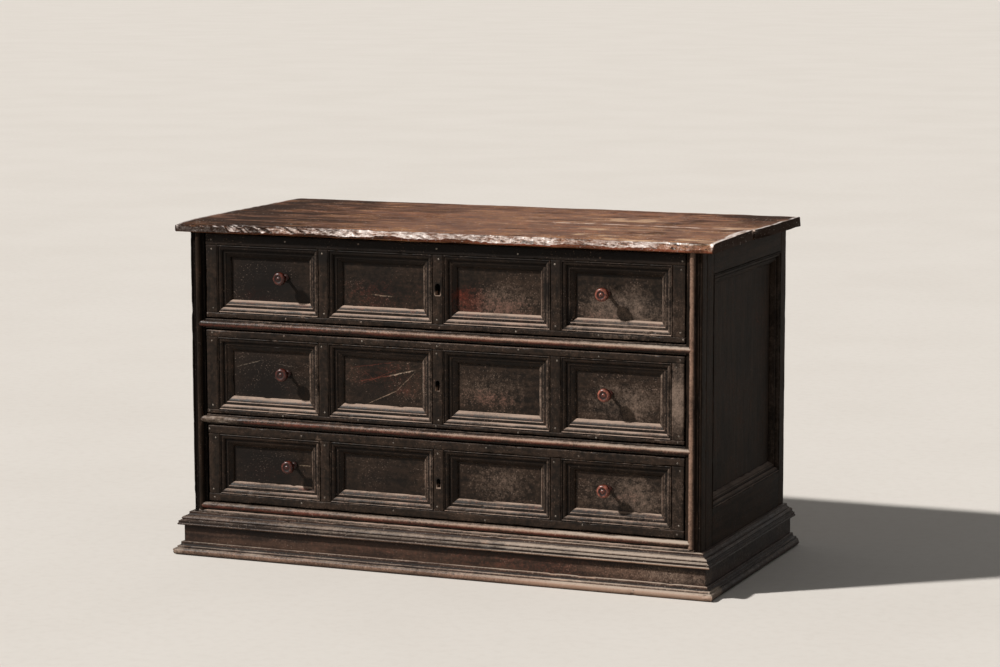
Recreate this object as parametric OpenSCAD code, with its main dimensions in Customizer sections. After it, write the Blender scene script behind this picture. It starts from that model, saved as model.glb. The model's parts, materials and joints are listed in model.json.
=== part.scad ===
// Antique walnut chest of drawers: three drawers with moulded panels, a board top and a
// moulded base. X runs across the front, Y runs to the back and Z runs up from the floor.
// The origin is at the floor, under the middle of the whole chest.

/* [Case] */
// Width of the case, without the top and the base
case_w = 1200; // [1100:10:1400]
// Depth of the case from its front face to its back face
case_d = 584; // [540:2:700]
// Thickness of the two upright boards at the front corners
front_board_t = 30; // [26:1:34]
// Width of those boards on the front
front_board_w = 35; // [33:1:50]
// Thickness of the side frames
side_t = 30; // [26:1:34]
// Height of the rails below the top and the middle drawer
rail_h = 22; // [17:1:30]
// Height of the rail below the bottom drawer
bottom_rail_h = 23; // [17:1:30]
// Depth of the rails from front to back
rail_d = 60; // [52:1:90]
// Height of the rail behind the top drawer's front
upper_rail_h = 22; // [18:1:28]
// Depth of that rail
upper_rail_d = 40; // [30:1:60]
// Thickness of the back boards
back_t = 18; // [12:1:24]
// Number of back boards
back_count = 4; // [2:1:6]
// Thickness of the boards below the bottom drawer
floor_t = 14; // [10:1:18]
// Number of boards below the bottom drawer
floor_count = 3; // [2:1:5]

/* [Top] */
// Thickness of the top
top_t = 22; // [18:1:30]
// Depth of the front board of the top
top_front_board_d = 300; // [240:5:340]
// Overhang of the top at the front
top_over_front = 16; // [10:1:24]
// Overhang of the top at each side
top_over_side = 30; // [20:1:40]
// Overhang of the top at the back
top_over_back = 14; // [5:1:30]
// Rounding of the front edge of the top
top_edge_r = 5; // [2:0.5:8]

/* [Base] */
// Thickness of the base boards
base_t = 17; // [12:1:24]
// Height of the base boards
base_h = 67; // [60:1:90]
// Height of the cap moulding that lies on the base boards
cap_h = 29; // [24:1:40]
// Projection of the cap moulding from the case
cap_out = 29; // [26:1:34]
// Radius of the rounded foot
foot_r = 8; // [6:0.5:10]
// Projection of the rounded foot from the case
foot_out = 38; // [36:1:46]
// Height of the foot moulding
foot_h = 29; // [27:1:36]
// Height of the step above the rounded foot
foot_step_h = 4; // [2:0.5:5]
// Projection of the fillet on top of the foot moulding
foot_fillet_out = 23; // [20:0.5:26]
// Height of that fillet
foot_fillet_h = 5; // [3:0.5:7]
// Height of the step below the cap moulding's nose
cap_step_h = 3; // [2:0.5:5]
// Height of that nose
nose_h = 9; // [7:0.5:10]
// Height of the groove above the nose
cap_groove_h = 2.5; // [1.5:0.5:4]
// Depth of that groove
cap_groove_in = 2; // [1:0.5:3]
// Projection of the band above the groove
cap_band_out = 21; // [19:0.5:24]
// Height of that band
cap_band_h = 5.5; // [3:0.5:7]
// Height of the fillet at the top of the cap moulding
cap_fillet_h = 3; // [2:0.5:5]
// Projection of that fillet
cap_fillet_out = 8; // [5:0.5:11]
// Height of the rail across the back, at the floor
back_rail_h = 60; // [40:1:78]
// Thickness of that rail
back_rail_t = 22; // [19:1:30]
// Side of the square corner blocks
block = 30; // [20:1:40]

/* [Side frames] */
// Width of the front stile of a side
side_front_stile_w = 45; // [35:1:60]
// Width of the back stile of a side
side_back_stile_w = 39; // [30:1:60]
// Height of the top rail of a side
side_top_rail_h = 52; // [40:1:70]
// Height of the bottom rail of a side that shows above the base
side_bottom_rail_show = 79; // [60:1:110]
// Height of the bottom rail of a side that the base hides
side_bottom_rail_hidden = 46; // [20:1:60]
// Depth at which the side panels lie
side_recess = 18; // [14:1:20]
// Thickness of the side panels
side_panel_t = 9; // [5:0.5:11]

/* [Beads] */
// Width of the half-round beads
bead_w = 15; // [12:0.5:17]
// Distance of the upright beads from the corners of the case
bead_inset = 21; // [12:0.5:26]

/* [Drawers] */
// Gap round a drawer's front
gap = 3; // [1.5:0.5:5]
// Thickness of the strips that frame the panels
strip_t = 18; // [15:0.5:22]
// Thickness of the board behind the panels
plank_t = 18; // [14:0.5:22]
// Width of the upright strips at a drawer's ends
end_strip_w = 28; // [20:1:45]
// Width of the upright strips between the panels
mid_strip_w = 24; // [20:1:40]
// Number of panels in a drawer
panel_count = 4; // [2:2:6]
// Thickness of a drawer's sides
drawer_side_t = 12; // [9:0.5:16]
// Thickness of a drawer's back
drawer_back_t = 12; // [9:0.5:16]
// Thickness of a drawer's bottom
drawer_bottom_t = 8; // [6:0.5:12]
// Height that the upper rail clears a drawer's sides by
side_clear = 5; // [3:0.5:10]
// Gap between a drawer's back and the back boards
stop_gap = 1; // [1:0.5:4]
// Width of the runners
runner_w = 40; // [30:1:60]
// Height of the runners below a drawer
runner_h = 24; // [18:1:26]
// Height of the runners' guide lips
guide_h = 10; // [5:0.5:10]
// Gap between a drawer's sides and the guide lips
guide_gap = 1; // [0.5:0.1:2]

/* [Top drawer] */
// Height of the top drawer's front
top_drawer_h = 187; // [175:1:210]
// Height of its panels
top_panel_h = 150; // [120:1:155]
// Height of its panels above its lower edge
top_panel_low = 12; // [8:1:16]
// Distance that its front lies back from the case's front
top_set = 1; // [0:0.5:3]
// Distance of its left knob from the middle
top_knob_left = 373; // [300:1:450]
// Distance of its right knob from the middle
top_knob_right = 382; // [300:1:450]
// Height of its knobs above the middle of the panels
top_knob_up = 8; // [-15:1:20]
// Width of its keyhole
top_key_w = 12; // [8:0.5:14]
// Height of its keyhole
top_key_h = 26; // [18:0.5:30]
// Height of its keyhole above its lower edge
top_key_z = 87; // [70:1:100]

/* [Middle drawer] */
// Height of the middle drawer's front
middle_drawer_h = 187; // [180:1:210]
// Height of its panels
middle_panel_h = 163; // [130:1:165]
// Height of its panels above its lower edge
middle_panel_low = 9; // [7:1:13]
// Distance that its front lies back from the case's front
middle_set = -2; // [-3:0.5:2]
// Distance of its left knob from the middle
middle_knob_left = 369; // [300:1:450]
// Distance of its right knob from the middle
middle_knob_right = 389; // [300:1:450]
// Height of its knobs above the middle of the panels
middle_knob_up = 7; // [-15:1:20]
// Width of its keyhole
middle_key_w = 10; // [8:0.5:14]
// Height of its keyhole
middle_key_h = 23; // [18:0.5:30]
// Height of its keyhole above its lower edge
middle_key_z = 93; // [70:1:100]

/* [Bottom drawer] */
// Height of the bottom drawer's front
bottom_drawer_h = 172; // [165:1:200]
// Height of its panels
bottom_panel_h = 135; // [120:1:140]
// Height of its panels above its lower edge
bottom_panel_low = 18; // [10:1:22]
// Distance that its front lies back from the case's front
bottom_set = 0.5; // [-3:0.5:2]
// Distance of its left knob from the middle
bottom_knob_left = 358; // [300:1:450]
// Distance of its right knob from the middle
bottom_knob_right = 387; // [300:1:450]
// Height of its knobs above the middle of the panels
bottom_knob_up = 6; // [-15:1:20]
// Width of its keyhole
bottom_key_w = 9; // [8:0.5:14]
// Height of its keyhole
bottom_key_h = 20; // [18:0.5:30]
// Height of its keyhole above its lower edge
bottom_key_z = 79; // [70:1:95]

/* [Panel moulding] */
// Width of the raised fillet at the moulding's outer edge
fillet_w = 3; // [2:0.5:4]
// Height of that fillet above the strips
fillet_out = 1.5; // [0.5:0.5:3]
// Width of the groove beside the fillet
groove_w = 1.5; // [1:0.5:3]
// Depth of that groove
groove_in = 1.5; // [0.5:0.5:2.5]
// Width of the rounded step
round_w = 7; // [5:0.5:9]
// Depth of the flat band below the strips' face
band_in = 7; // [5:0.5:9]
// Width of the flat band
band_w = 7; // [4:0.5:9]
// Width of the hollow slope down to the panel
slope_w = 7.5; // [5:0.5:9]
// Depth of the step from the flat band to that slope
band_step = 1; // [0.5:0.5:2]
// Thickness of the moulding at its inner edge
lip_t = 1.5; // [1:0.5:3]

/* [Knobs] */
// Diameter of a knob's head
knob_d = 29; // [24:0.5:36]
// Distance that a knob stands out from the panel
knob_out = 38; // [30:1:46]
// Diameter of a knob's stem
stem_d = 9; // [7:0.5:12]
// Length of stem that passes the board inside the drawer
stem_in = 4; // [2:1:8]
// Diameter of the ring at the knob's foot
knob_ring_d = 16; // [13:0.5:18]
// Thickness of that ring
knob_ring_t = 5; // [4:0.5:8]
// Length of the knob's thin part above the panel
knob_neck_l = 17; // [10:0.5:18]
// Diameter of the knob's neck
knob_neck_d = 7; // [5:0.5:8]
// Depth of the dish in the knob's head
knob_dish = 1.5; // [0.5:0.5:3]
// Diameter of the button in that dish
knob_button_d = 10; // [6:0.5:12]

/* [Locks] */
// Width of a lock case
lock_w = 80; // [60:1:110]
// Depth of a lock case
lock_d = 12; // [11:0.5:14]
// Thickness of the iron sheet
sheet = 2; // [1:0.5:2.5]
// Height of a lock case below its keyhole's middle
lock_low = 30; // [24:1:40]
// Width of a bolt
bolt_w = 24; // [16:1:30]
// Thickness of a bolt
bolt_t = 5; // [3:0.5:6]
// Distance that a bolt rises when the key turns
bolt_throw = 10; // [8:0.5:11]
// Distance from a keyhole up to the lower end of the bolt
bolt_above_key = 5; // [3:0.5:7]
// Height of the notch in the bolt's lower end
notch_h = 8; // [5:0.5:12]
// Width of that notch
notch_w = 8; // [4:0.5:10]
// Length of the guides beside the bolt
guide_l = 25; // [15:1:35]
// Diameter of the pin that a hollow key turns on
key_pin_d = 4; // [2:0.5:5]

/* [Hidden] */

// Colours of the old dark walnut, the softwood inside and the iron
dark = "#3b302b";
warm = "#6a4331";
worn = "#5b4136";
pale = "#8a6b4c";
iron = "#4a4744";

// Steps of a quarter arc in a moulded outline
steps = 6;
// Hairline between boards that share a node
seam = 0.15;
// Gap between pieces of different bodies that slide on each other
slip = 0.3;
// Clearance of a knob's stem in its hole, on the radius
fit = 0.05;
// Extra reach of a cutting solid
over = 1;

// Indices of the drawers
TOP = 0;
MIDDLE = 1;
BOTTOM = 2;

drawer_h = [top_drawer_h, middle_drawer_h, bottom_drawer_h];
panel_h = [top_panel_h, middle_panel_h, bottom_panel_h];
panel_low = [top_panel_low, middle_panel_low, bottom_panel_low];
set_back = [top_set, middle_set, bottom_set];
knob_left = [top_knob_left, middle_knob_left, bottom_knob_left];
knob_right = [top_knob_right, middle_knob_right, bottom_knob_right];
knob_up = [top_knob_up, middle_knob_up, bottom_knob_up];
key_w = [top_key_w, middle_key_w, bottom_key_w];
key_h = [top_key_h, middle_key_h, bottom_key_h];
key_z = [top_key_z, middle_key_z, bottom_key_z];

// Heights of the rails and drawers, from the floor up
base_top = base_h + cap_h;
bottom_z = base_top + bottom_rail_h + gap;
middle_z = bottom_z + bottom_drawer_h + 2 * gap + rail_h;
top_z = middle_z + middle_drawer_h + 2 * gap + rail_h;
drawer_z = [top_z, middle_z, bottom_z];
case_top = top_z + top_drawer_h + gap;
floor_z = bottom_z - slip - runner_h;
upper_rail_z = case_top - upper_rail_h;

// The case's inner and outer planes
half_w = case_w / 2;
inner_w = case_w - 2 * side_t;
opening_w = case_w - 2 * front_board_w;
back_y = case_d - back_t;
// Place of the case's front plane, with the origin under the middle of the chest
whole_d = foot_out + case_d + top_over_back;
front_y = foot_out - whole_d / 2;

// Drawer sizes that are the same for all three
drawer_w = opening_w - 2 * gap;
box_w = drawer_w - 2 * guide_gap;
front_t = strip_t + plank_t;
box_end = back_y - stop_gap;
side_cut = upper_rail_h + side_clear - gap;
panel_w = (drawer_w - 2 * end_strip_w - (panel_count - 1) * mid_strip_w) / panel_count;
panel_pitch = panel_w + mid_strip_w;
mould_w = fillet_w + groove_w + round_w + band_w + slope_w;

// Lock places behind a drawer's board
bolt_gap = (lock_d - sheet - bolt_t) / 2;
upper_rail_y = front_t + max(top_set, 0) + over;

function arc(cx, cy, r, from, to, n = steps) =
    [for (i = [0:n]) [cx + r * cos(from + (to - from) * i / n),
                      cy + r * sin(from + (to - from) * i / n)]];

// Outline of a panel moulding: X is the depth behind the strips' face, Y is the distance
// from the moulding's outer edge
function panel_outline(depth) =
    let (round_at = fillet_w + groove_w,
         slope_at = round_at + round_w + band_w,
         slope_in = band_in + band_step,
         slope_d = depth - lip_t - slope_in)
    concat(
        [[depth, 0], [0, 0]],
        [for (i = [0:steps])
            [-fillet_out * sin(180 * i / steps), fillet_w * i / steps]],
        [[groove_in, fillet_w], [groove_in, round_at]],
        [for (i = [0:steps])
            [band_in - (band_in - groove_in / 2) * cos(90 * i / steps),
             round_at + round_w * sin(90 * i / steps)]],
        [[band_in, slope_at], [slope_in, slope_at]],
        [for (i = [1:steps])
            [slope_in + slope_d * (0.4 * (1 - cos(90 * i / steps)) + 0.6 * i / steps),
             slope_at + slope_w * i / steps]],
        [[depth, mould_w]]
    );

// Outline of the foot moulding: X is the projection from the case, Y is the height
function foot_outline() =
    let (torus_x = foot_out - foot_r,
         step_top = 2 * foot_r + foot_step_h,
         step_x = torus_x - 2,
         hollow_w = step_x - foot_fillet_out,
         hollow_h = foot_h - foot_fillet_h - step_top)
    concat(
        [[base_t, 0]],
        arc(torus_x, foot_r, foot_r, -90, 90, 2 * steps),
        [[torus_x, step_top], [step_x, step_top]],
        [for (i = [0:steps])
            [foot_fillet_out + hollow_w * (1 - sin(90 * i / steps)),
             step_top + hollow_h * (1 - cos(90 * i / steps))]],
        [[foot_fillet_out, foot_h], [base_t, foot_h]]
    );

// Outline of the cap moulding
function cap_outline() =
    let (nose_x = cap_out - nose_h / 2,
         nose_top = cap_step_h + nose_h,
         groove_top = nose_top + cap_groove_h,
         band_top = groove_top + cap_band_h,
         fillet_z = cap_h - cap_fillet_h,
         round_out = cap_band_out - 1 - cap_fillet_out - 4)
    concat(
        [[0, 0], [base_t + cap_step_h, 0], [base_t + cap_step_h, cap_step_h]],
        arc(nose_x, cap_step_h + nose_h / 2, nose_h / 2, -90, 90, 2 * steps),
        [[nose_x - cap_groove_in, nose_top], [nose_x - cap_groove_in, groove_top],
         [cap_band_out, groove_top], [cap_band_out - 1, band_top]],
        [for (i = [1:steps])
            [cap_band_out - 1 - round_out * sin(90 * i / steps),
             fillet_z - (fillet_z - band_top) * cos(90 * i / steps)]],
        [[cap_fillet_out, fillet_z], [cap_fillet_out, cap_h], [0, cap_h]]
    );

// A box given by its lowest and highest corners
module block_between(low, high) {
    translate(low) cube(high - low);
}

// Everything is drawn from the case's front plane and moved to the shared origin
module placed() {
    translate([0, front_y, 0]) children();
}

// One mitred length of panel moulding, along X, with its outer edge at Z = 0
module moulding_length(length, depth) {
    half = length / 2 - seam;
    intersection() {
        translate([-length / 2, 0, 0]) rotate([90, 0, 90])
            linear_extrude(length) polygon(panel_outline(depth));
        translate([0, depth + over, 0]) rotate([90, 0, 0])
            linear_extrude(depth + 2 * over + fillet_out)
                polygon([[-half, 0], [half, 0], [half - mould_w, mould_w],
                         [mould_w - half, mould_w]]);
    }
}

// The four lengths round a panel, centred on it
module moulding_frame(w, h, depth) {
    for (flip = [0, 1]) mirror([0, 0, flip])
        translate([0, 0, -h / 2]) moulding_length(w, depth);
    for (flip = [0, 1]) mirror([flip, 0, 0])
        translate([-w / 2, 0, 0]) rotate([0, 90, 0]) moulding_length(h, depth);
}

// A moulding that runs along the front and both sides of the case, mitred at the corners
module round_three_sides(outline, out) {
    intersection() {
        translate([-half_w - out, 0, 0]) rotate([90, 0, 90])
            linear_extrude(case_w + 2 * out) polygon([for (p = outline) [-p[0], p[1]]]);
        translate([0, 0, -over]) linear_extrude(case_top)
            polygon([[seam - half_w, 0], [half_w - seam, 0],
                     [half_w + out - seam, -out], [seam - half_w - out, -out]]);
    }
    for (flip = [0, 1]) mirror([flip, 0, 0]) intersection() {
        translate([half_w, case_d, 0]) rotate([90, 0, 0])
            linear_extrude(case_d + out) polygon(outline);
        translate([0, 0, -over]) linear_extrude(case_top)
            polygon([[half_w, seam], [half_w + out, seam - out],
                     [half_w + out, case_d], [half_w, case_d]]);
    }
}

// A board of the top, with its outer long edge rounded
module top_board(from, to, round_front) {
    r = min(top_edge_r, top_t / 2 - over);
    y0 = round_front ? from : -to;
    y1 = round_front ? to : -from;
    color(warm) placed() mirror([0, round_front ? 0 : 1, 0])
        translate([-half_w - top_over_side, 0, case_top]) rotate([90, 0, 90])
            linear_extrude(case_w + 2 * top_over_side)
                polygon(concat(
                    [[y1, 0]],
                    [[y1, top_t]],
                    arc(y0 + r, top_t - r, r, 90, 180),
                    arc(y0 + r, r, r, 180, 270)));
}

module front_board() {
    color(dark) placed()
        block_between([half_w - front_board_w, 0, 0], [half_w, front_board_t, case_top]);
}

module side_front_stile() {
    color(dark) placed()
        block_between([half_w - side_t, front_board_t, 0],
                      [half_w, front_board_t + side_front_stile_w, case_top]);
}

module side_back_stile() {
    color(dark) placed()
        block_between([half_w - side_t, case_d - side_back_stile_w, 0],
                      [half_w, case_d, case_top]);
}

// Inner edges of a side frame
side_y0 = front_board_t + side_front_stile_w;
side_y1 = case_d - side_back_stile_w;
side_z0 = base_top + side_bottom_rail_show;
side_z1 = case_top - side_top_rail_h;

module side_top_rail() {
    color(dark) placed()
        block_between([half_w - side_t, side_y0, side_z1], [half_w, side_y1, case_top]);
}

module side_bottom_rail() {
    color(dark) placed()
        block_between([half_w - side_t, side_y0, base_top - side_bottom_rail_hidden],
                      [half_w, side_y1, side_z0]);
}

module side_panel() {
    color(dark) placed()
        block_between([half_w - side_recess - side_panel_t, side_y0, side_z0],
                      [half_w - side_recess, side_y1, side_z1]);
}

module side_moulding() {
    color(dark) placed()
        translate([half_w, (side_y0 + side_y1) / 2, (side_z0 + side_z1) / 2])
            rotate([0, 0, 90])
                moulding_frame(side_y1 - side_y0, side_z1 - side_z0, side_recess);
}

// Slot in a rail's underside that takes the bolt of drawer i
module bolt_slot(i, z) {
    y = front_t + set_back[i] + bolt_gap;
    block_between([-bolt_w / 2 - over, y - over, z - over],
                  [bolt_w / 2 + over, y + bolt_t + over, z + bolt_throw + over]);
}

module upper_rail() {
    color(pale) placed() difference() {
        block_between([-inner_w / 2, upper_rail_y, upper_rail_z],
                      [inner_w / 2, upper_rail_y + upper_rail_d, case_top]);
        bolt_slot(TOP, upper_rail_z);
    }
}

// A rail between the front boards and the side frames, with its lower face at z
module cross_rail(z, h) {
    translate([0, 0, z]) linear_extrude(h) {
        translate([-opening_w / 2, 0]) square([opening_w, rail_d]);
        translate([-inner_w / 2, front_board_t]) square([inner_w, rail_d - front_board_t]);
    }
}

// The rail below drawer i, which takes the bolt of the drawer below it
module rail_below(i) {
    z = drawer_z[i] - gap - rail_h;
    color(dark) placed() difference() {
        cross_rail(z, rail_h);
        bolt_slot(i + 1, z);
    }
}

module bottom_rail() {
    color(dark) placed() cross_rail(base_top, bottom_rail_h);
}

// Heights of the beads' middle lines
bead_r = bead_w / 2;
bead_x = half_w - bead_inset;
bead_z = [
    top_z - gap - rail_h / 2,
    middle_z - gap - rail_h / 2,
    base_top + bottom_rail_h - bead_r
];

module upright_bead() {
    color(worn) placed() difference() {
        intersection() {
            translate([bead_x, 0, base_top]) cylinder(h = case_top - base_top, r = bead_r, $fn = 48);
            block_between([bead_x - bead_w, -bead_w, base_top], [bead_x + bead_w, 0, case_top]);
        }
        for (z = bead_z) translate([bead_x - bead_r, over, z]) rotate([90, 0, 0])
            linear_extrude(bead_w + over)
                polygon([[-over, -bead_r - over], [bead_r, 0], [-over, bead_r + over]]);
    }
}

module rail_beads() {
    half = bead_x - bead_r - seam;
    color(worn) placed() for (z = bead_z) intersection() {
        translate([-bead_x, 0, z]) rotate([0, 90, 0])
            cylinder(h = 2 * bead_x, r = bead_r, $fn = 48);
        translate([0, 0, z]) rotate([90, 0, 0]) linear_extrude(bead_w)
            polygon([[-half - bead_r, 0], [-half, -bead_r], [half, -bead_r],
                     [half + bead_r, 0], [half, bead_r], [-half, bead_r]]);
    }
}

// Left and right runner of drawer i, each with a lip that guides the drawer's side
module runners(i) {
    z = drawer_z[i] - slip;
    lip_x = box_w / 2 + guide_gap;
    color(pale) placed() for (flip = [0, 1]) mirror([flip, 0, 0])
        translate([0, back_y, 0]) rotate([90, 0, 0]) linear_extrude(back_y - rail_d) {
            translate([inner_w / 2 - runner_w, z - runner_h]) square([runner_w, runner_h]);
            translate([lip_x, z - over]) square([inner_w / 2 - lip_x, guide_h + over]);
        }
}

module back_boards() {
    board = (case_top - back_rail_h) / back_count;
    color(pale) placed() for (i = [0:back_count - 1])
        block_between([-inner_w / 2, back_y, back_rail_h + i * board],
                      [inner_w / 2, case_d, back_rail_h + (i + 1) * board - seam]);
}

// The boards below the bottom drawer, which its runners stand on
module floor_boards() {
    board = (back_y - rail_d) / floor_count;
    color(pale) placed() for (i = [0:floor_count - 1])
        block_between([-inner_w / 2, rail_d + i * board, floor_z - floor_t],
                      [inner_w / 2, rail_d + (i + 1) * board - (i < floor_count - 1 ? seam : 0),
                       floor_z]);
}

module base_boards() {
    color(worn) placed()
        round_three_sides([[0, 0], [base_t, 0], [base_t, base_h], [0, base_h]], base_t);
}

module base_foot_moulding() {
    color(worn) placed() round_three_sides(foot_outline(), foot_out);
}

module base_cap_moulding() {
    color(dark) placed() translate([0, 0, base_h]) round_three_sides(cap_outline(), cap_out);
}

module base_back_rail() {
    color(pale) placed()
        block_between([-inner_w / 2, case_d - back_rail_t, 0], [inner_w / 2, case_d, back_rail_h]);
}

module corner_blocks() {
    top = floor_z - floor_t;
    x = inner_w / 2 - block;
    color(pale) placed() for (flip = [0, 1]) mirror([flip, 0, 0]) {
        block_between([x, front_board_t, 0], [x + block, front_board_t + block, base_top]);
        block_between([x, case_d - back_rail_t - block, 0],
                      [x + block, case_d - back_rail_t, top]);
    }
}

// Keyhole outline of drawer i, with a round top, centred on its place
module keyhole(i) {
    w = key_w[i];
    h = key_h[i];
    translate([0, h / 2 - w / 2]) circle(d = w, $fn = 40);
    translate([-w / 2, -h / 2]) square([w, h - w / 2]);
}

// Cuts the keyhole of drawer i through everything in its front
module keyhole_cut(i) {
    translate([0, front_t + over, drawer_z[i] + key_z[i]]) rotate([90, 0, 0])
        linear_extrude(front_t + 2 * over) keyhole(i);
}

// Everything in drawer i is drawn from its own front face
module in_drawer(i) {
    placed() translate([0, set_back[i], 0]) children();
}

function panel_mid_z(i) = drawer_z[i] + panel_low[i] + panel_h[i] / 2;
function knob_z(i) = panel_mid_z(i) + knob_up[i];

module drawer_board(i) {
    color(dark) in_drawer(i) difference() {
        block_between([-drawer_w / 2, strip_t, drawer_z[i]],
                      [drawer_w / 2, front_t, drawer_z[i] + drawer_h[i]]);
        keyhole_cut(i);
        for (x = [-knob_left[i], knob_right[i]])
            translate([x, front_t + over, knob_z(i)]) rotate([90, 0, 0])
                cylinder(h = plank_t + 2 * over, d = stem_d + 2 * fit, $fn = 40);
    }
}

// The strips that frame the panels: two across, the rest upright between them
module drawer_strips(i) {
    low = drawer_z[i];
    high = low + drawer_h[i];
    z0 = low + panel_low[i];
    z1 = z0 + panel_h[i];
    half = drawer_w / 2;
    color(dark) in_drawer(i) {
        block_between([-half, 0, low], [half, strip_t, z0 - seam]);
        block_between([-half, 0, z1 + seam], [half, strip_t, high]);
        for (x = [-half, half - end_strip_w])
            block_between([x, 0, z0], [x + end_strip_w, strip_t, z1]);
        difference() {
            for (k = [1:panel_count - 1]) let (x = -half + end_strip_w - mid_strip_w + k * panel_pitch)
                block_between([x, 0, z0], [x + mid_strip_w, strip_t, z1]);
            keyhole_cut(i);
        }
    }
}

module drawer_mouldings(i) {
    first = -drawer_w / 2 + end_strip_w + panel_w / 2;
    color(dark) in_drawer(i) for (k = [0:panel_count - 1])
        translate([first + k * panel_pitch, 0, panel_mid_z(i)])
            moulding_frame(panel_w, panel_h[i], strip_t);
}

module drawer_sides(i) {
    color(pale) in_drawer(i) for (flip = [0, 1]) mirror([flip, 0, 0])
        block_between([box_w / 2 - drawer_side_t, front_t, drawer_z[i] + drawer_bottom_t],
                      [box_w / 2, box_end - set_back[i], drawer_z[i] + drawer_h[i] - side_cut]);
}

module drawer_back(i) {
    color(pale) in_drawer(i)
        block_between([drawer_side_t - box_w / 2, box_end - set_back[i] - drawer_back_t,
                       drawer_z[i] + drawer_bottom_t],
                      [box_w / 2 - drawer_side_t, box_end - set_back[i],
                       drawer_z[i] + drawer_h[i] - side_cut]);
}

module drawer_bottom(i) {
    color(pale) in_drawer(i)
        block_between([-box_w / 2, front_t, drawer_z[i]],
                      [box_w / 2, box_end - set_back[i], drawer_z[i] + drawer_bottom_t]);
}

// Turned knob with its stem along Z: the panel's face is at Z = 0 and the head is above it
module knob() {
    r = knob_d / 2;
    neck = knob_neck_d / 2;
    ring = knob_ring_d / 2;
    rim = r * 0.35;
    flare = knob_out - knob_neck_l - 2 * rim;
    rotate_extrude($fn = 48) polygon(concat(
        [[0, -plank_t - stem_in], [stem_d / 2, -plank_t - stem_in], [stem_d / 2, 0], [ring, 0]],
        [for (k = [0:steps])
            [neck + (ring - neck) * (1 - sin(90 * k / steps)),
             knob_ring_t / 2 + (knob_ring_t / 2) * (1 - cos(90 * k / steps))]],
        [for (k = [0:steps])
            [neck + (r - neck) * (1 - cos(90 * k / steps)),
             knob_neck_l + flare * sin(90 * k / steps)]],
        arc(r - rim, knob_out - rim, rim, 0, 90),
        [[r - rim - knob_dish, knob_out - knob_dish],
         [knob_button_d / 2, knob_out - knob_dish]],
        arc(0, knob_out - knob_dish, knob_button_d / 2, 30, 90, 3)
    ));
}

module drawer_knobs(i) {
    color(worn) in_drawer(i) for (x = [-knob_left[i], knob_right[i]])
        translate([x, strip_t, knob_z(i)]) rotate([90, 0, 0]) knob();
}

// Height of the lock case's top: below the rail that its bolt enters
function lock_top(i) = i == TOP ? upper_rail_z - over : drawer_z[i] + drawer_h[i] - over;
function key_mid_z(i) = drawer_z[i] + key_z[i];
function bolt_z(i) = key_mid_z(i) + key_h[i] / 2 + bolt_above_key;

// An iron case, open towards the drawer's board, with a slot and two guides for its bolt
module drawer_lock(i) {
    half = lock_w / 2;
    z0 = key_mid_z(i) - lock_low;
    z1 = lock_top(i);
    y0 = front_t;
    y1 = front_t + lock_d;
    guide_x = bolt_w / 2 + slip;
    color(iron) in_drawer(i) {
        difference() {
            block_between([-half, y0, z0], [half, y1, z1]);
            block_between([sheet - half, y0 - over, z0 + sheet],
                          [half - sheet, y1 - sheet, z1 - sheet]);
            block_between([-guide_x, y0 + bolt_gap - slip, z1 - sheet - over],
                          [guide_x, y0 + bolt_gap + bolt_t + slip, z1 + over]);
        }
        for (flip = [0, 1]) mirror([flip, 0, 0])
            block_between([guide_x, y0 + bolt_gap, bolt_z(i)],
                          [guide_x + sheet, y1 - sheet, bolt_z(i) + guide_l]);
        translate([0, y1 - sheet, key_mid_z(i)]) rotate([90, 0, 0])
            cylinder(h = (lock_d - sheet) * 0.7, d = key_pin_d, $fn = 32);
    }
}

// A flat bolt with a notch in its lower end for the key's bit
module drawer_bolt(i) {
    y0 = front_t + bolt_gap;
    y1 = y0 + bolt_t;
    color(iron) in_drawer(i) difference() {
        block_between([-bolt_w / 2, y0, bolt_z(i)], [bolt_w / 2, y1, lock_top(i)]);
        block_between([-notch_w / 2, y0 - over, bolt_z(i) - over],
                      [notch_w / 2, y1 + over, bolt_z(i) + notch_h]);
    }
}

module left() {
    mirror([1, 0, 0]) children();
}

top_board(-top_over_front, top_front_board_d - top_over_front, true);  // top_front_board
top_board(top_front_board_d - top_over_front, case_d + top_over_back, false);  // top_back_board
left() front_board();  // front_board_left
front_board();  // front_board_right
left() side_front_stile();  // left_side_front_stile
left() side_back_stile();  // left_side_back_stile
left() side_top_rail();  // left_side_top_rail
left() side_bottom_rail();  // left_side_bottom_rail
left() side_panel();  // left_side_panel
left() side_moulding();  // left_side_moulding
side_front_stile();  // right_side_front_stile
side_back_stile();  // right_side_back_stile
side_top_rail();  // right_side_top_rail
side_bottom_rail();  // right_side_bottom_rail
side_panel();  // right_side_panel
side_moulding();  // right_side_moulding
upper_rail();
rail_below(TOP);  // rail_below_top_drawer
rail_below(MIDDLE);  // rail_below_middle_drawer
bottom_rail();  // rail_below_bottom_drawer
left() upright_bead();  // upright_bead_left
upright_bead();  // upright_bead_right
rail_beads();
runners(TOP);  // top_drawer_runners
runners(MIDDLE);  // middle_drawer_runners
runners(BOTTOM);  // bottom_drawer_runners
back_boards();
floor_boards();
base_boards();
base_foot_moulding();
base_cap_moulding();
base_back_rail();
corner_blocks();
drawer_board(TOP);  // top_drawer_board
drawer_strips(TOP);  // top_drawer_strips
drawer_mouldings(TOP);  // top_drawer_mouldings
drawer_sides(TOP);  // top_drawer_sides
drawer_back(TOP);  // top_drawer_back
drawer_bottom(TOP);  // top_drawer_bottom
drawer_knobs(TOP);  // top_drawer_knobs
drawer_lock(TOP);  // top_drawer_lock
drawer_bolt(TOP);  // top_drawer_bolt
drawer_board(MIDDLE);  // middle_drawer_board
drawer_strips(MIDDLE);  // middle_drawer_strips
drawer_mouldings(MIDDLE);  // middle_drawer_mouldings
drawer_sides(MIDDLE);  // middle_drawer_sides
drawer_back(MIDDLE);  // middle_drawer_back
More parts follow.
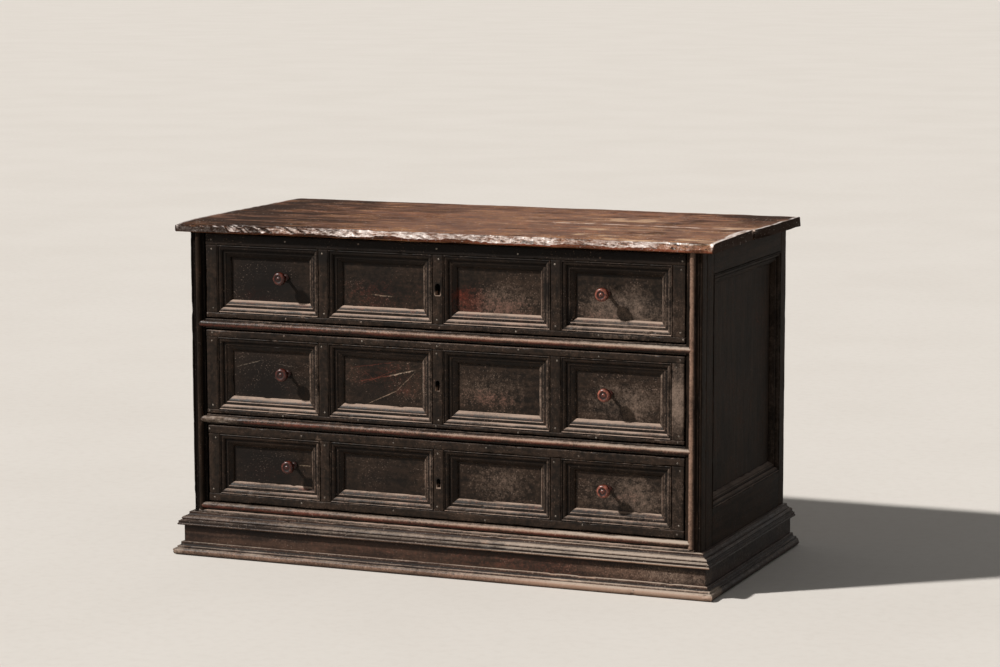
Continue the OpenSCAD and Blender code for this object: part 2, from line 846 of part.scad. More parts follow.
drawer_bottom(MIDDLE);  // middle_drawer_bottom
drawer_knobs(MIDDLE);  // middle_drawer_knobs
drawer_lock(MIDDLE);  // middle_drawer_lock
drawer_bolt(MIDDLE);  // middle_drawer_bolt
drawer_board(BOTTOM);  // bottom_drawer_board
drawer_strips(BOTTOM);  // bottom_drawer_strips
drawer_mouldings(BOTTOM);  // bottom_drawer_mouldings
drawer_sides(BOTTOM);  // bottom_drawer_sides
drawer_back(BOTTOM);  // bottom_drawer_back
drawer_bottom(BOTTOM);  // bottom_drawer_bottom
drawer_knobs(BOTTOM);  // bottom_drawer_knobs
drawer_lock(BOTTOM);  // bottom_drawer_lock
drawer_bolt(BOTTOM);  // bottom_drawer_bolt
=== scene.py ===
import json
import math

import bmesh
import bpy
import numpy as np
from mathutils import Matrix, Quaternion, Vector, kdtree


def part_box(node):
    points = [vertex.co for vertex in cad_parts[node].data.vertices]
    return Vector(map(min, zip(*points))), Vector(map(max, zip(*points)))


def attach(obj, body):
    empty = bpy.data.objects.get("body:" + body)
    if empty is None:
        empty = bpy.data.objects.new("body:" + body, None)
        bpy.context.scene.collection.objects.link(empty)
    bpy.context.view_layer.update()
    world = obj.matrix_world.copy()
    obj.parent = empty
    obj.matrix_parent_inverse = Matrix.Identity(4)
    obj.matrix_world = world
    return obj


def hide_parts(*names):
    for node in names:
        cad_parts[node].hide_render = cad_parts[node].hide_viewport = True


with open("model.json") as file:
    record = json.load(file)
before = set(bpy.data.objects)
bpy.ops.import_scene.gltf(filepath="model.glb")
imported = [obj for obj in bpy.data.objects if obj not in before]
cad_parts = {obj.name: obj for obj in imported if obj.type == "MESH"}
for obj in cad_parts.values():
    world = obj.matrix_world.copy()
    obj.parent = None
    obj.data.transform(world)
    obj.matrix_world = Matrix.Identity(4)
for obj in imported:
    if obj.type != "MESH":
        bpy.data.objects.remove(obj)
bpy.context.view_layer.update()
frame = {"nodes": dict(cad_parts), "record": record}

mm = 0.001
print("frame loaded:", len(frame["nodes"]), "solids' nodes")


# Camera, fitted to the chest's own corners
lookFrom = {"azimuth": 22.66, "elevation": 7.93, "distance": 6.3173, "roll": -0.14,
            "target": (0.1375, -0.2603, 0.5335), "lens": 106.25}


def placeCamera(look):
    camera = bpy.data.objects.new("camera", bpy.data.cameras.new("camera"))
    bpy.context.scene.collection.objects.link(camera)
    a, e = math.radians(look["azimuth"]), math.radians(look["elevation"])
    back = Vector((math.sin(a) * math.cos(e), -math.cos(a) * math.cos(e), math.sin(e)))
    camera.location = Vector(look["target"]) + back * look["distance"]
    camera.rotation_mode = "QUATERNION"
    roll = Quaternion((0, 0, 1), math.radians(look["roll"]))
    camera.rotation_quaternion = (-back).to_track_quat("-Z", "Y") @ roll
    camera.data.lens = look["lens"]
    camera.data.sensor_width = 36
    camera.data.clip_end = 200
    bpy.context.scene.camera = camera


# Shader sockets that can be added, multiplied and compared like numbers
class Wire:
    def __init__(self, tree, socket):
        self.tree, self.socket = tree, socket

    def math(self, operation, first, second=0.0):
        return self.tree.node("ShaderNodeMath", {"operation": operation}, {0: first, 1: second})

    def __add__(self, other):
        return self.math("ADD", self, other)

    def __sub__(self, other):
        return self.math("SUBTRACT", self, other)

    def __rsub__(self, other):
        return self.math("SUBTRACT", other, self)

    def __mul__(self, other):
        return self.math("MULTIPLY", self, other)

    __radd__ = __add__
    __rmul__ = __mul__

    def most(self, other):
        return self.math("MAXIMUM", self, other)

    def least(self, other):
        return self.math("MINIMUM", self, other)

    def size(self):
        return self.math("ABSOLUTE", self)

    # 0 below low, 1 above high, and a soft rise between them
    def rise(self, low, high):
        return self.tree.node("ShaderNodeMapRange", {"interpolation_type": "SMOOTHSTEP"},
                              {"Value": self, "From Min": low, "From Max": high})


# A node tree of a material or the world
class Recipe:
    def __init__(self, owner):
        owner.use_nodes = True
        self.owner, self.tree = owner, owner.node_tree
        self.tree.nodes.clear()

    def node(self, kind, settings=None, inputs=None, output=0):
        made = self.tree.nodes.new(kind)
        for key, value in (settings or {}).items():
            setattr(made, key, value)
        for key, value in (inputs or {}).items():
            if isinstance(value, Wire):
                self.tree.links.new(value.socket, made.inputs[key])
            else:
                made.inputs[key].default_value = value
        return Wire(self, made.outputs[output] if made.outputs else None)

    def mark(self, name, output="Fac"):
        return self.node("ShaderNodeAttribute", {"attribute_name": name}, output=output)

    def place(self):
        return self.node("ShaderNodeTexCoord", output="Object")

    def stretch(self, vector, scale):
        return self.node("ShaderNodeVectorMath", {"operation": "MULTIPLY"}, {0: vector, 1: scale})

    def noise(self, vector, scale, detail, rough, twist=0.0):
        return self.node("ShaderNodeTexNoise", None, {
            "Vector": vector, "Scale": scale, "Detail": detail, "Roughness": rough, "Distortion": twist})

    def mix(self, first, second, factor):
        return self.node("ShaderNodeMix", {"data_type": "RGBA"}, {0: factor, 6: first, 7: second}, output=2)

    def bump(self, height, depth):
        return self.node("ShaderNodeBump", None, {"Height": height, "Distance": depth, "Strength": 1.0})

    def surface(self, inputs):
        shader = self.node("ShaderNodeBsdfPrincipled", None, inputs)
        self.node("ShaderNodeOutputMaterial", None, {"Surface": shader})
        return self.owner


# A colour written as in a paint book, turned into the linear one that shaders take
def tint(hexed):
    parts = [int(hexed[k:k + 2], 16) / 255 for k in (0, 2, 4)]
    return tuple(c / 12.92 if c < 0.04045 else ((c + 0.055) / 1.055) ** 2.4 for c in parts) + (1.0,)


# What each kind of wood looks like: its colours, how many streaks, fibres, specks and flecks lie along a
# metre of its grain and across it, how mottled it is, how sharply its colours meet, and how strongly its
# dry spots, fibres, dirt and specks show. Its dirt colour also paints shade, its dust colour also paints
# light and its rubbed colour also paints highlights
walnutLook = {"deep": "17120e", "mid": "33271f", "dry": "584a3f", "rub": "877263", "red": "642c20",
              "dust": "a69081", "dirt": "0f0b09", "streak": (6, 70, 70), "fibre": (16, 190, 190),
              "speckle": (340, 340, 340), "mottle": 0.6, "blend": 0.16, "dryFrom": 0.03, "dryness": 0.55,
              "fibres": 0.2, "dustyDry": 0.25, "grime": 0.92, "specks": 0.6, "rough": 0.42, "shine": 0.12,
              "relief": 0.8}
topLook = {"deep": "4a2d1f", "mid": "7e5238", "dry": "c79a6c", "rub": "c9a583", "red": "84402f",
           "dust": "dacdc6", "dirt": "291b13", "streak": (6, 45, 24), "fibre": (40, 90, 110),
           "speckle": (200, 90, 340), "flecks": (14, 60, 240), "flecked": 0.5, "mottle": 0.38, "blend": 0.2,
           "dryFrom": -0.03, "dryness": 0.62, "fibres": 0.5, "dustyDry": -0.3, "grime": 1.0, "specks": 0.7,
           "rough": 0.5, "shine": 0.05, "relief": 1.2, "wax": 1.6}
rubbedLook = dict(walnutLook, deep="241a15", mid="49362c", dry="715c4e", rub="9f806d", red="6c382c",
                  dust="ab9c8e", streak=(5, 60, 60), mottle=0.4, dryness=0.5, fibres=0.2, specks=0.8,
                  rough=0.4, shine=0.16)
# A darker walnut, used on the sides, the posts and the left bead; on the sides its darkness also paints their
# shade
sideLook = dict(walnutLook, deep="140f0b", mid="291f18", dry="3b2f26", rub="574a40", dust="7d7068",
                mottle=0.3, fibres=0.35, specks=0.5, rough=0.66, shine=0.05)
insideLook = {"deep": "5f452f", "mid": "8b6b4a", "dry": "a58a68", "rub": "a98c68", "red": "7a4e34",
              "dust": "b7a58c", "dirt": "2a2018", "streak": (4, 70, 70), "fibre": (12, 160, 160),
              "speckle": (340, 340, 340), "mottle": 0.3, "blend": 0.14, "dryFrom": 0.0, "dryness": 0.8,
              "fibres": 0.6, "dustyDry": 0.25, "grime": 0.6, "specks": 0.2, "rough": 0.72, "shine": 0.25,
              "relief": 0.7}


def agedWood(name, look, scratches=()):
    r = Recipe(bpy.data.materials.new(name))
    grain = r.mark("grain", "Vector")
    bare, grime, pale, red = r.mark("bare"), r.mark("grime"), r.mark("pale"), r.mark("red")

    # Noises centred on 0, alike in all directions or stretched by the grain
    def even(scale, detail, rough=0.6):
        return r.noise(grain, scale, detail, rough) - 0.5

    def stretched(scale, detail=3, rough=0.6, twist=0.0):
        return r.noise(r.stretch(grain, scale), 1, detail, rough, twist) - 0.5

    patch, mottle, grit = even(12, 5), even(90, 5, 0.65), even(340, 3)
    streak, fibre = stretched(look["streak"], 6, twist=0.3), stretched(look["fibre"], 4)
    vein, scuffs = stretched((14, 420, 420)), stretched((60, 420, 190), twist=0.6)
    speckle = stretched(look["speckle"])

    share, fine = look["mottle"], fibre * look["fibres"]
    body = streak * (1 - share) + mottle * share + patch * 0.4 + fine * 0.6
    dry = patch * 0.6 + mottle * share * 0.7 + fine + grit * 0.4 + pale * look["dustyDry"]
    dirtyAndShaded = grime + mottle * 0.5 + fine
    if "flecks" in look:
        flecks = stretched(look["flecks"], rough=0.7) * look["flecked"]
        body, dry, dirtyAndShaded = body + flecks, dry + flecks, dirtyAndShaded - flecks
    dry = dry.rise(look["dryFrom"], look["dryFrom"] + look["blend"] * 2)
    reddish = (red + mottle * 1.6 + grit * 1.6 + fine * 2 + patch).rise(0.25, 1.3)
    pore = (vein * 0.55 + scuffs * 0.45).rise(-0.05, -0.18)
    rubbed = (bare + grit * 0.7 + mottle * share).rise(0.3, 1.1)
    dirtyAndShaded = dirtyAndShaded.rise(0.2, 0.9) * look["grime"]
    dustyAndLit = (pale + grit * 0.5 + mottle * 0.5 + patch * 0.35).rise(0.18, 1.08)
    speck = (speckle + pale * 0.03).rise(0.12, 0.2) * (patch + pale * 0.2).rise(-0.12, 0.1)
    colour = tint(look["deep"])
    for layer, amount in (("mid", body.rise(-look["blend"], look["blend"])), ("dry", dry * look["dryness"]),
                          ("red", reddish * 0.85), ("deep", pore * (0.25 + look["fibres"] * 0.5)),
                          ("rub", rubbed * 0.9), ("dirt", dirtyAndShaded),
                          ("dust", dustyAndLit.most(speck * look["specks"] * 0.75) * 0.9)):
        colour = r.mix(colour, tint(look[layer]), amount)
    relief = vein * 0.15 + mottle * 0.5 + grit * 0.3 + scuffs * 0.2 + streak * 0.3 + fine
    for *line, ink, strength in scratches:
        line = scratch(r, *line, mottle, grit) * strength
        colour = r.mix(colour, tint(ink), line)
        relief = relief - line * 0.3
    rough = look["rough"] + 0.12 * dry + 0.2 * dustyAndLit + 0.3 * dirtyAndShaded + grit * 0.25 + mottle * 0.25
    inputs = {"Base Color": colour, "Roughness": rough, "Specular IOR Level": look["shine"],
              "Normal": r.bump(relief, mm * look["relief"])}
    if "wax" in look:
        inputs.update({"Coat Weight": (bare * pale * look["wax"]).least(1.0), "Coat Roughness": 0.34})
    return r.surface(inputs)


# Where a scratch shows. Its ends are places across and up the front, in metres. Its width, and how far
# it wanders, are in millimetres
def scratch(r, x0, z0, x1, z1, width, wander, mottle, grit):
    long = math.hypot(x1 - x0, z1 - z0)
    ux, uz = (x1 - x0) / long, (z1 - z0) / long
    place = r.place()
    x, z = (r.node("ShaderNodeSeparateXYZ", None, {0: place}, output=k) for k in "XZ")
    s = (x - x0) * ux + (z - z0) * uz
    off = ((z - z0) * ux - (x - x0) * uz + mottle * (wander * mm) + grit * 2 * mm).size()
    inside = s.rise(-4 * mm, 12 * mm) * s.rise(long + 4 * mm, long - 12 * mm)
    broken = (mottle + grit).rise(-0.12, 0.1) * 0.75 + 0.25
    return off.rise(width * mm, width * mm * 0.3) * inside * broken


# Iron of the locks and the nails, forged and darkened with a little rust
ironLook = {"dark": "24201d", "grey": "4b453f", "rust": "4a2e1f", "rough": 0.5}
nailIronLook = {"dark": "453d36", "grey": "857b71", "rust": "5b4334", "rough": 0.45}


def oldIron(name, look):
    r = Recipe(bpy.data.materials.new(name))
    place = r.place()
    scale = r.noise(place, 160, 5, 0.65)
    pits = r.noise(place, 900, 3, 0.6)
    rusty = r.noise(place, 60, 6, 0.7).rise(0.52, 0.66)
    colour = r.mix(tint(look["dark"]), tint(look["grey"]), scale.rise(0.35, 0.7))
    colour = r.mix(colour, tint(look["rust"]), rusty * 0.8)
    return r.surface({"Base Color": colour, "Metallic": 0.6 - rusty * 0.4,
                      "Roughness": look["rough"] + rusty * 0.25 + (pits - 0.5) * 0.3,
                      "Normal": r.bump(scale * 0.6 + pits * 0.4, 0.4 * mm)})


# Turned knobs, polished by hands
knobLook = {"deep": "1b0906", "mid": "4c1d13", "light": "ab6552", "dirt": "0e0806", "rough": 0.3,
            "shine": 0.25, "wax": 0.22}


def knobWood(name, look):
    r = Recipe(bpy.data.materials.new(name))
    grain = r.mark("grain", "Vector")
    bare, grime = r.mark("bare"), r.mark("grime")
    rings = r.noise(r.stretch(grain, (40, 500, 500)), 1, 4, 0.6)
    patch = r.noise(grain, 120, 4, 0.6)
    grit = r.noise(grain, 700, 3, 0.6)
    colour = r.mix(tint(look["deep"]), tint(look["mid"]), (patch * 0.7 + rings * 0.3).rise(0.34, 0.62))
    rubbed = (bare + (patch - 0.5) * 0.9 + (grit - 0.5) * 0.6).rise(0.45, 0.95)
    colour = r.mix(colour, tint(look["light"]), rubbed * 0.8)
    colour = r.mix(colour, tint(look["dirt"]), (grime * 1.2 + (grit - 0.5) * 0.4).rise(0.2, 0.8) * 0.9)
    return r.surface({"Base Color": colour, "Roughness": look["rough"] + (grit - 0.5) * 0.3 + grime * 0.4,
                      "Specular IOR Level": look["shine"], "Coat Weight": (1 - grime) * look["wax"],
                      "Coat Roughness": 0.2, "Normal": r.bump(rings * 0.5 + grit * 0.5, 0.25 * mm)})


# A number from 0 to 1 for each whole-numbered cell, the same on each run
def dice(cells, turn=0):
    cells = np.asarray(cells, np.int64)
    key = (cells * np.array([374761393, 668265263, 974634777])[:cells.shape[-1]]).sum(-1) + turn * 40503
    key = (key ^ (key >> 13)) * 1274126177
    return ((key ^ (key >> 16)) & 65535) / 65535


# Smooth noise from 0 to 1, for points counted in the noise's own cells
def cloud(points, seed=0):
    points = np.asarray(points, float) + seed * 17.31
    cell = np.floor(points).astype(np.int64)
    part = points - cell
    part = part * part * (3 - 2 * part)
    total = np.zeros(points.shape[:-1])
    for corner in range(8):
        step = np.array([corner & 1, corner >> 1 & 1, corner >> 2 & 1])
        total += dice(cell + step) * np.where(step == 1, part, 1 - part).prod(-1)
    return total


# Splintered wood: how deep its flat flakes lie, each one with its own depth and tilt
def flakes(points, seed=0):
    points = np.asarray(points, float) + seed * 9.7
    cell = np.floor(points).astype(np.int64)
    nearest = np.full(points.shape[:-1], 9.0)
    depth = np.zeros_like(nearest)
    for step in np.ndindex(3, 3):
        key = cell + np.array(step) - 1
        away = points - (key + np.stack([dice(key, 1), dice(key, 2)], -1))
        far = (away ** 2).sum(-1)
        tilt = away[..., 0] * (dice(key, 3) - 0.5) + away[..., 1] * (dice(key, 4) - 0.5)
        closer = far < nearest
        nearest = np.where(closer, far, nearest)
        depth = np.where(closer, dice(key, 5) * 0.6 + tilt * 1.4, depth)
    return depth


# Points of a flat noise, counted in its cells
def flatSpots(first, second=0.0):
    return np.stack(np.broadcast_arrays(first, second, 0.0), -1)


# Noise along one line, such as the length of a board
def along(distance, cell, seed=0):
    return cloud(flatSpots(distance / cell), seed)


# How far a value has passed from low to high, from 0 to 1
def passed(value, low, high):
    part = np.clip((value - low) / (high - low), 0, 1)
    return part * part * (3 - 2 * part)


# 1 between two bounds, falling softly to 0 outside them
def between(value, low, lowFull, highFull, high):
    return passed(value, low, lowFull) * passed(value, high, highFull)


def arc(centre, radius, start, stop, count):
    turns = np.radians(np.linspace(start, stop, count + 1))
    return [(centre[0] + radius * math.cos(t), centre[1] + radius * math.sin(t)) for t in turns]


# Angles through a quarter turn
def quarter(count):
    return np.linspace(0, math.pi / 2, count)


def areaOf(outline):
    nextOne = np.roll(outline, -1, 0)
    return (outline[:, 0] * nextOne[:, 1] - nextOne[:, 0] * outline[:, 1]).sum() / 2


# Outward normals of a closed outline, and how sharply it turns near each point:
# near 1 at a square outer edge and near -1 in a square inner corner
def outlineFacts(outline, reach=1.6 * mm):
    sense = math.copysign(1, areaOf(outline))
    ahead = np.roll(outline, -1, 0) - outline
    ahead = ahead / np.hypot(ahead[:, 0], ahead[:, 1])[:, None]
    behind = np.roll(ahead, 1, 0)
    cross = behind[:, 0] * ahead[:, 1] - behind[:, 1] * ahead[:, 0]
    turn = np.arctan2(cross, (behind * ahead).sum(1)) * sense / (math.pi / 2)
    tangent = ahead + behind
    normal = np.stack([tangent[:, 1], -tangent[:, 0]], -1) * sense
    normal = normal / np.maximum(np.hypot(normal[:, 0], normal[:, 1]), 1e-9)[:, None]
    gap = np.hypot(*(outline[:, None] - outline[None]).transpose(2, 0, 1))
    return normal, np.clip((np.exp(-(gap / reach) ** 2) * turn).sum(1), -1, 1)


# Places of the points across one face of a board: close together near its edges
def faceStops(length, edge, cell):
    near = [a for a in (edge, edge + 1.6 * mm, edge + 5 * mm) if a < length / 2 - 0.4 * mm]
    count = max(1, round((length - 2 * near[-1]) / cell))
    middle = np.linspace(near[-1], length - near[-1], count + 1).tolist()
    return near[:-1] + middle + [length - a for a in near[-2::-1]]


def boardOutline(width, height, edge, cell):
    edge = min(edge, width / 4, height / 4)
    across, up = faceStops(width, edge, cell), faceStops(height, edge, cell)
    points = [(x, 0) for x in across] + arc((width - edge, edge), edge, -90, 0, 3)[1:-1]
    points += [(width, y) for y in up] + arc((width - edge, height - edge), edge, 0, 90, 3)[1:-1]
    points += [(x, height) for x in reversed(across)] + arc((edge, height - edge), edge, 90, 180, 3)[1:-1]
    points += [(0, y) for y in reversed(up)] + arc((edge, edge), edge, 180, 270, 3)[1:-1]
    return np.array(points)


# How a piece has aged: how far its points lie apart, how deep its faces undulate, how far its edges are
# softened, how deep and how common the chips in them are, how rubbed they are and how dusty it is. Its dust
# lies on faces that look up, and also paints the light from above on them
frontAge = {"pitch": 6 * mm, "cell": 12 * mm, "edge": 1.1 * mm, "dent": 0.45 * mm, "soft": 0.7 * mm,
            "chip": 2.2 * mm, "chipFrom": 0.6, "rubbed": 0.45, "dust": 0.5}
mouldAge = {"pitch": 4.5 * mm, "dent": 0.3 * mm, "soft": 0.5 * mm, "chip": 2.1 * mm, "chipFrom": 0.57,
            "rubbed": 0.65, "dust": 1.0, "rightDulled": 0.31}
beadAge = dict(mouldAge, dent=0.6 * mm, chip=2 * mm)
sideAge = dict(frontAge, pitch=9 * mm, cell=20 * mm, chip=1.4 * mm, rubbed=0.3, dust=0.4)
insideAge = dict(frontAge, pitch=30 * mm, cell=40 * mm, edge=1 * mm, chip=1 * mm, rubbed=0.2, dust=0.2)
# How far apart the waves of each kind of wear lie, in metres
wearScales = {"dent": (0.055, 0.03, 0.03), "soft": 0.03, "chip": (0.013, 0.02, 0.02), "chipGroups": 0.05,
              "rubbed": 0.06, "dust": 0.045}
# The marks that a material reads, and their columns: bare wood, grime, dust and red. Bare also carries
# painted highlights, grime painted shade and dust painted light
marks = ("bare", "grime", "pale", "red")
bareAndLitAt, grimeAndShadeAt, paleAndLightAt, redAt = range(4)
grainShift, ageShift = 0.317, 0.737  # from one part to the next
axisVectors = np.eye(3)
xAxis, yAxis, zAxis = axisVectors


# Raises a mark of age to at least a level
def atLeast(life, mark, level):
    life[..., mark] = np.maximum(life[..., mark], level)


# Leaves only a share of what is bare and dusty
def fade(life, kept):
    life[..., [bareAndLitAt, paleAndLightAt]] *= np.broadcast_to(kept, life.shape[:-1])[..., None]


# Faces of a tube of rings with n points each, closed by a flat face at both ends
def tubeFaces(rings, n, inverted):
    ring = np.arange(rings - 1)[:, None] * n
    j, k = np.arange(n), (np.arange(n) + 1) % n
    quads = np.stack([ring + j, ring + k, ring + n + k, ring + n + j], -1).reshape(-1, 4)
    caps = [np.arange(n)[::-1], np.arange(n) + n * (rings - 1)]
    if inverted:
        quads, caps = quads[:, ::-1], [cap[::-1] for cap in caps]
    return quads.tolist() + [cap.tolist() for cap in caps]


# One piece of the chest, gathered from swept, turned and cut parts
class Timber:
    def __init__(self, seed):
        self.parts, self.seed = [], seed

    # Adds a part that is given in the sweep's own directions, each with its own stretch of grain
    def add(self, local, faces, origin, frameRows, age):
        flat = local.reshape(-1, 3)
        self.parts.append([origin + flat @ frameRows, faces, flat + self.seed * grainShift, age])
        self.seed += 1

    # Sweeps a closed outline along the grain. Place is the origin and the directions of the
    # grain, of the outline's first value and of its second value
    def sweep(self, outline, start, stop, place, age, ends=0.0, shape=None):
        origin, frameRows = np.asarray(place[0], float), np.array(place[1:], float)
        n = len(outline)
        start, stop = np.broadcast_to(start, n), np.broadcast_to(stop, n)
        span = (stop - start).max()
        stops = np.linspace(0, 1, max(2, round(span / age["pitch"])) + 1)
        if ends:
            near = np.array([0.3, 1, 2.6]) * ends / span
            stops = np.unique(np.round(np.concatenate([stops, near, 1 - near]), 6))
        local = np.empty((len(stops), n, 3))
        local[..., 0] = start + (stop - start) * stops[:, None]
        local[..., 1:] = outline
        normal, sharp = outlineFacts(outline)
        short = np.zeros(len(stops))
        if ends:
            short = np.clip(1 - np.minimum(stops, 1 - stops) * span / ends, 0, 1)
        short = short[:, None]
        spot = local + self.seed * ageShift
        edge = np.clip(sharp, 0, 1)
        inward = age["dent"] * cloud(spot / wearScales["dent"], 1)
        inward += age["soft"] * edge * (0.2 + cloud(spot / wearScales["soft"], 2))
        peaks = cloud(spot / wearScales["chip"], 3) * 0.6 + cloud(spot / wearScales["chipGroups"], 4) * 0.4
        bite = edge * np.clip((peaks - age["chipFrom"]) / (1 - age["chipFrom"]), 0, 1) * 2
        inward += age["chip"] * bite + ends * (1 - np.sqrt(1 - short ** 2))
        local[..., 1:] -= normal * inward[..., None]
        lasting = cloud(spot / wearScales["rubbed"], 5)
        bare = np.clip(edge * age["rubbed"] * (0.55 + 0.7 * lasting) + bite * 1.2 + short * 0.5, 0, 1)
        # Inner corners are darkened: dirt, and painted shade
        grime = np.clip(-sharp * 1.8, 0, 1) + bare * 0
        # Edges that face up keep more of their rubbed lightness, a painted highlight from the light above,
        # and faces that look up gather dust, which also paints that light
        upward = np.clip((normal @ frameRows[1:])[:, 2], 0, 1)
        bare *= 0.45 + 0.55 * np.sqrt(upward)
        uneven = 0.7 + 0.5 * cloud(spot / wearScales["dust"], 6)
        pale = (age["dust"] * upward + age.get("dulled", 0)) * uneven
        life = np.stack([bare, grime, pale, np.zeros_like(bare)], -1)
        if shape:
            shape(local, life)
        faces = tubeFaces(len(stops), n, areaOf(outline) * np.linalg.det(frameRows) < 0)
        self.add(local, faces, origin, frameRows, life.reshape(-1, 4))

    # A board between two corners, with its grain along one axis
    def board(self, low, high, axis, age, shape=None):
        low, size = np.asarray(low), np.asarray(high) - np.asarray(low)
        first, second = [k for k in range(3) if k != axis]
        outline = boardOutline(size[first], size[second], age["edge"], age["cell"])
        place = (low, axisVectors[axis], axisVectors[first], axisVectors[second])
        self.sweep(outline, 0, size[axis], place, age, min(age["edge"], size[axis] / 4), shape)

    # Four mitred lengths round an opening. Its sides and its depth run along the given directions
    def mouldingFrame(self, outline, corner, width, height, right, up, deep, age, shape=None):
        corner, right, up, deep = (np.asarray(v, float) for v in (corner, right, up, deep))
        far = corner + right * width + up * height
        inset = outline[:, 1]
        # The lower length is the dustiest. The upper and left lengths get little dust and rubbing, which
        # paints their shade, and the right one is rubbed and paler, a painted light from the left
        dull = dict(age, dust=age["dust"] * 0.2, rubbed=age["rubbed"] * 0.35)
        rubbed = dict(age, rubbed=age["rubbed"] * 1.2, dulled=age.get("rightDulled", 0))
        for origin, run, inner, length, own in (
                (corner, right, up, width, age), (far, -right, -up, width, dull),
                (corner, up, right, height, dull), (far, -up, -right, height, rubbed)):
            self.sweep(outline, inset, length - inset, (origin, run, deep, inner), own, shape=shape)

    # A turned shape: radii and heights, spun round an axis
    def turn(self, profile, place, segments, wobble=0.0, life=None):
        origin, frameRows = np.asarray(place[0], float), np.array(place[1:], float)
        profile = np.asarray(profile, float)
        n, m = len(profile), segments
        angle = np.linspace(0, 2 * math.pi, m, endpoint=False)
        around = np.stack([np.cos(angle) * 1.5, np.sin(angle) * 1.5, angle * 0 + self.seed], -1)
        uneven = 1 + wobble * (cloud(around) - 0.5)
        local = np.empty((n, m, 3))
        local[..., 0] = profile[:, 1:2]
        local[..., 1] = profile[:, :1] * np.cos(angle) * uneven
        local[..., 2] = profile[:, :1] * np.sin(angle) * uneven
        age = np.zeros((n, 4)) if life is None else np.asarray(life, float)
        faces = tubeFaces(n, m, np.linalg.det(frameRows) < 0)
        self.add(local, faces, origin, frameRows, np.repeat(age, m, 0))

    # Cuts a straight-sided shape out of the part added last. The new faces inside are painted black, as
    # shade; a share of worn paints their lower half lit instead, a painted highlight on the ledge
    def cut(self, outline, place, length, worn=0.0):
        points, faces, grain, age = self.parts[-1]
        origin, rows = np.asarray(place[0], float), np.array(place[1:], float)
        n = len(outline)
        flat = np.hstack([np.zeros((n, 1)), outline])
        both = np.vstack([flat, flat + [length, 0, 0]])
        tool = [[j, (j + 1) % n, n + (j + 1) % n, n + j] for j in range(n)]
        tool += [list(range(n))[::-1], list(range(n, 2 * n))]
        board = plainObject("board_to_cut", points, faces)
        cutter = plainObject("cutter", origin + both @ rows, tool)
        for made in (board, cutter):
            made.data.validate()
            fixNormals(made.data)
        modifier = board.modifiers.new("cut", "BOOLEAN")
        modifier.operation, modifier.solver, modifier.object = "DIFFERENCE", "EXACT", cutter
        done = board.evaluated_get(bpy.context.evaluated_depsgraph_get()).to_mesh()
        spots = np.array([v.co[:] for v in done.vertices])
        newFaces = [list(p.vertices) for p in done.polygons]
        tree = kdtree.KDTree(len(points))
        for i, p in enumerate(points):
            tree.insert(p, i)
        tree.balance()
        found = [tree.find(p) for p in spots]
        near = np.array([f[1] for f in found])
        fresh = np.array([f[2] for f in found]) > 0.02 * mm
        # The grain runs straight on, so it follows from the nearest old point and the way from it
        fit, *_ = np.linalg.lstsq(np.c_[points, np.ones(len(points))], grain, rcond=None)
        newGrain = np.where(fresh[:, None], np.c_[spots, np.ones(len(spots))] @ fit, grain[near])
        newAge = age[near].copy()
        heights = spots[fresh, 2]
        paintedLitLedge = worn * passed(heights, heights.mean(), heights.min())
        newAge[fresh, bareAndLitAt], newAge[fresh, grimeAndShadeAt], newAge[fresh, paleAndLightAt] = paintedLitLedge, 1 - paintedLitLedge, paintedLitLedge
        self.parts[-1] = [spots, newFaces, newGrain, newAge]
        for made in (board, cutter):
            bpy.data.objects.remove(made)

    def arrays(self):
        starts = np.cumsum([0] + [len(p[0]) for p in self.parts])
        points = np.vstack([p[0] for p in self.parts])
        faces = [[i + int(s) for i in face] for s, p in zip(starts, self.parts) for face in p[1]]
        return points, faces, np.vstack([p[2] for p in self.parts]), np.vstack([p[3] for p in self.parts])


def plainObject(name, points, faces):
    mesh = bpy.data.meshes.new(name)
    mesh.from_pydata(np.asarray(points).tolist(), [], faces)
    made = bpy.data.objects.new(name, mesh)
    bpy.context.scene.collection.objects.link(made)
    return made


def fixNormals(mesh):
    shape = bmesh.new()
    shape.from_mesh(mesh)
    bmesh.ops.recalc_face_normals(shape, faces=shape.faces)
    shape.to_mesh(mesh)
    shape.free()


# Turns a node's name into a piece's name
def pieceName(node):
    first, *rest = node.split("_")
    return first + "".join(word.capitalize() for word in rest)


bodyOf = {node: body for body, nodes in frame["record"]["behaviour"]["bodies"].items() for node in nodes}


# Makes the Blender piece that stands for a node, or one that is added to a body
def finishPiece(timber, material, node=None, name=None, body=None, crease=34, stain=None):
    points, faces, grain, age = timber.arrays()
    if stain:
        stain(points, age)
    made = plainObject(name or pieceName(node), points, faces)
    mesh = made.data
    for k, mark in enumerate(marks):
        layer = mesh.attributes.new(mark, "FLOAT", "POINT")
        layer.data.foreach_set("value", np.ascontiguousarray(age[:, k], np.float32))
    layer = mesh.attributes.new("grain", "FLOAT_VECTOR", "POINT")
    layer.data.foreach_set("vector", np.ascontiguousarray(grain, np.float32).ravel())
    mesh.polygons.foreach_set("use_smooth", [True] * len(mesh.polygons))
    mesh.set_sharp_from_angle(angle=math.radians(crease))
    mesh.materials.append(material)
    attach(made, body or bodyOf[node])
    if node:
        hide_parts(node)
    return made


def corners(node):
    return [np.array(corner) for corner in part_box(node)]


# Boxes of a node's separate solids, sorted by place
def solidBoxes(node):
    shape = bmesh.new()
    shape.from_mesh(frame["nodes"][node].data)
    bmesh.ops.remove_doubles(shape, verts=shape.verts, dist=0.02 * mm)
    left, boxes = set(shape.verts), []
    while left:
        group, todo = [], [left.pop()]
        while todo:
            vertex = todo.pop()
            group.append(vertex.co[:])
            for link in vertex.link_edges:
                other = link.other_vert(vertex)
                if other in left:
                    left.remove(other)
                    todo.append(other)
        group = np.array(group)
        boxes.append((group.min(0), group.max(0)))
    shape.free()
    return sorted(boxes, key=lambda b: tuple(np.round((b[0] + b[1])[[2, 0, 1]], 3)))


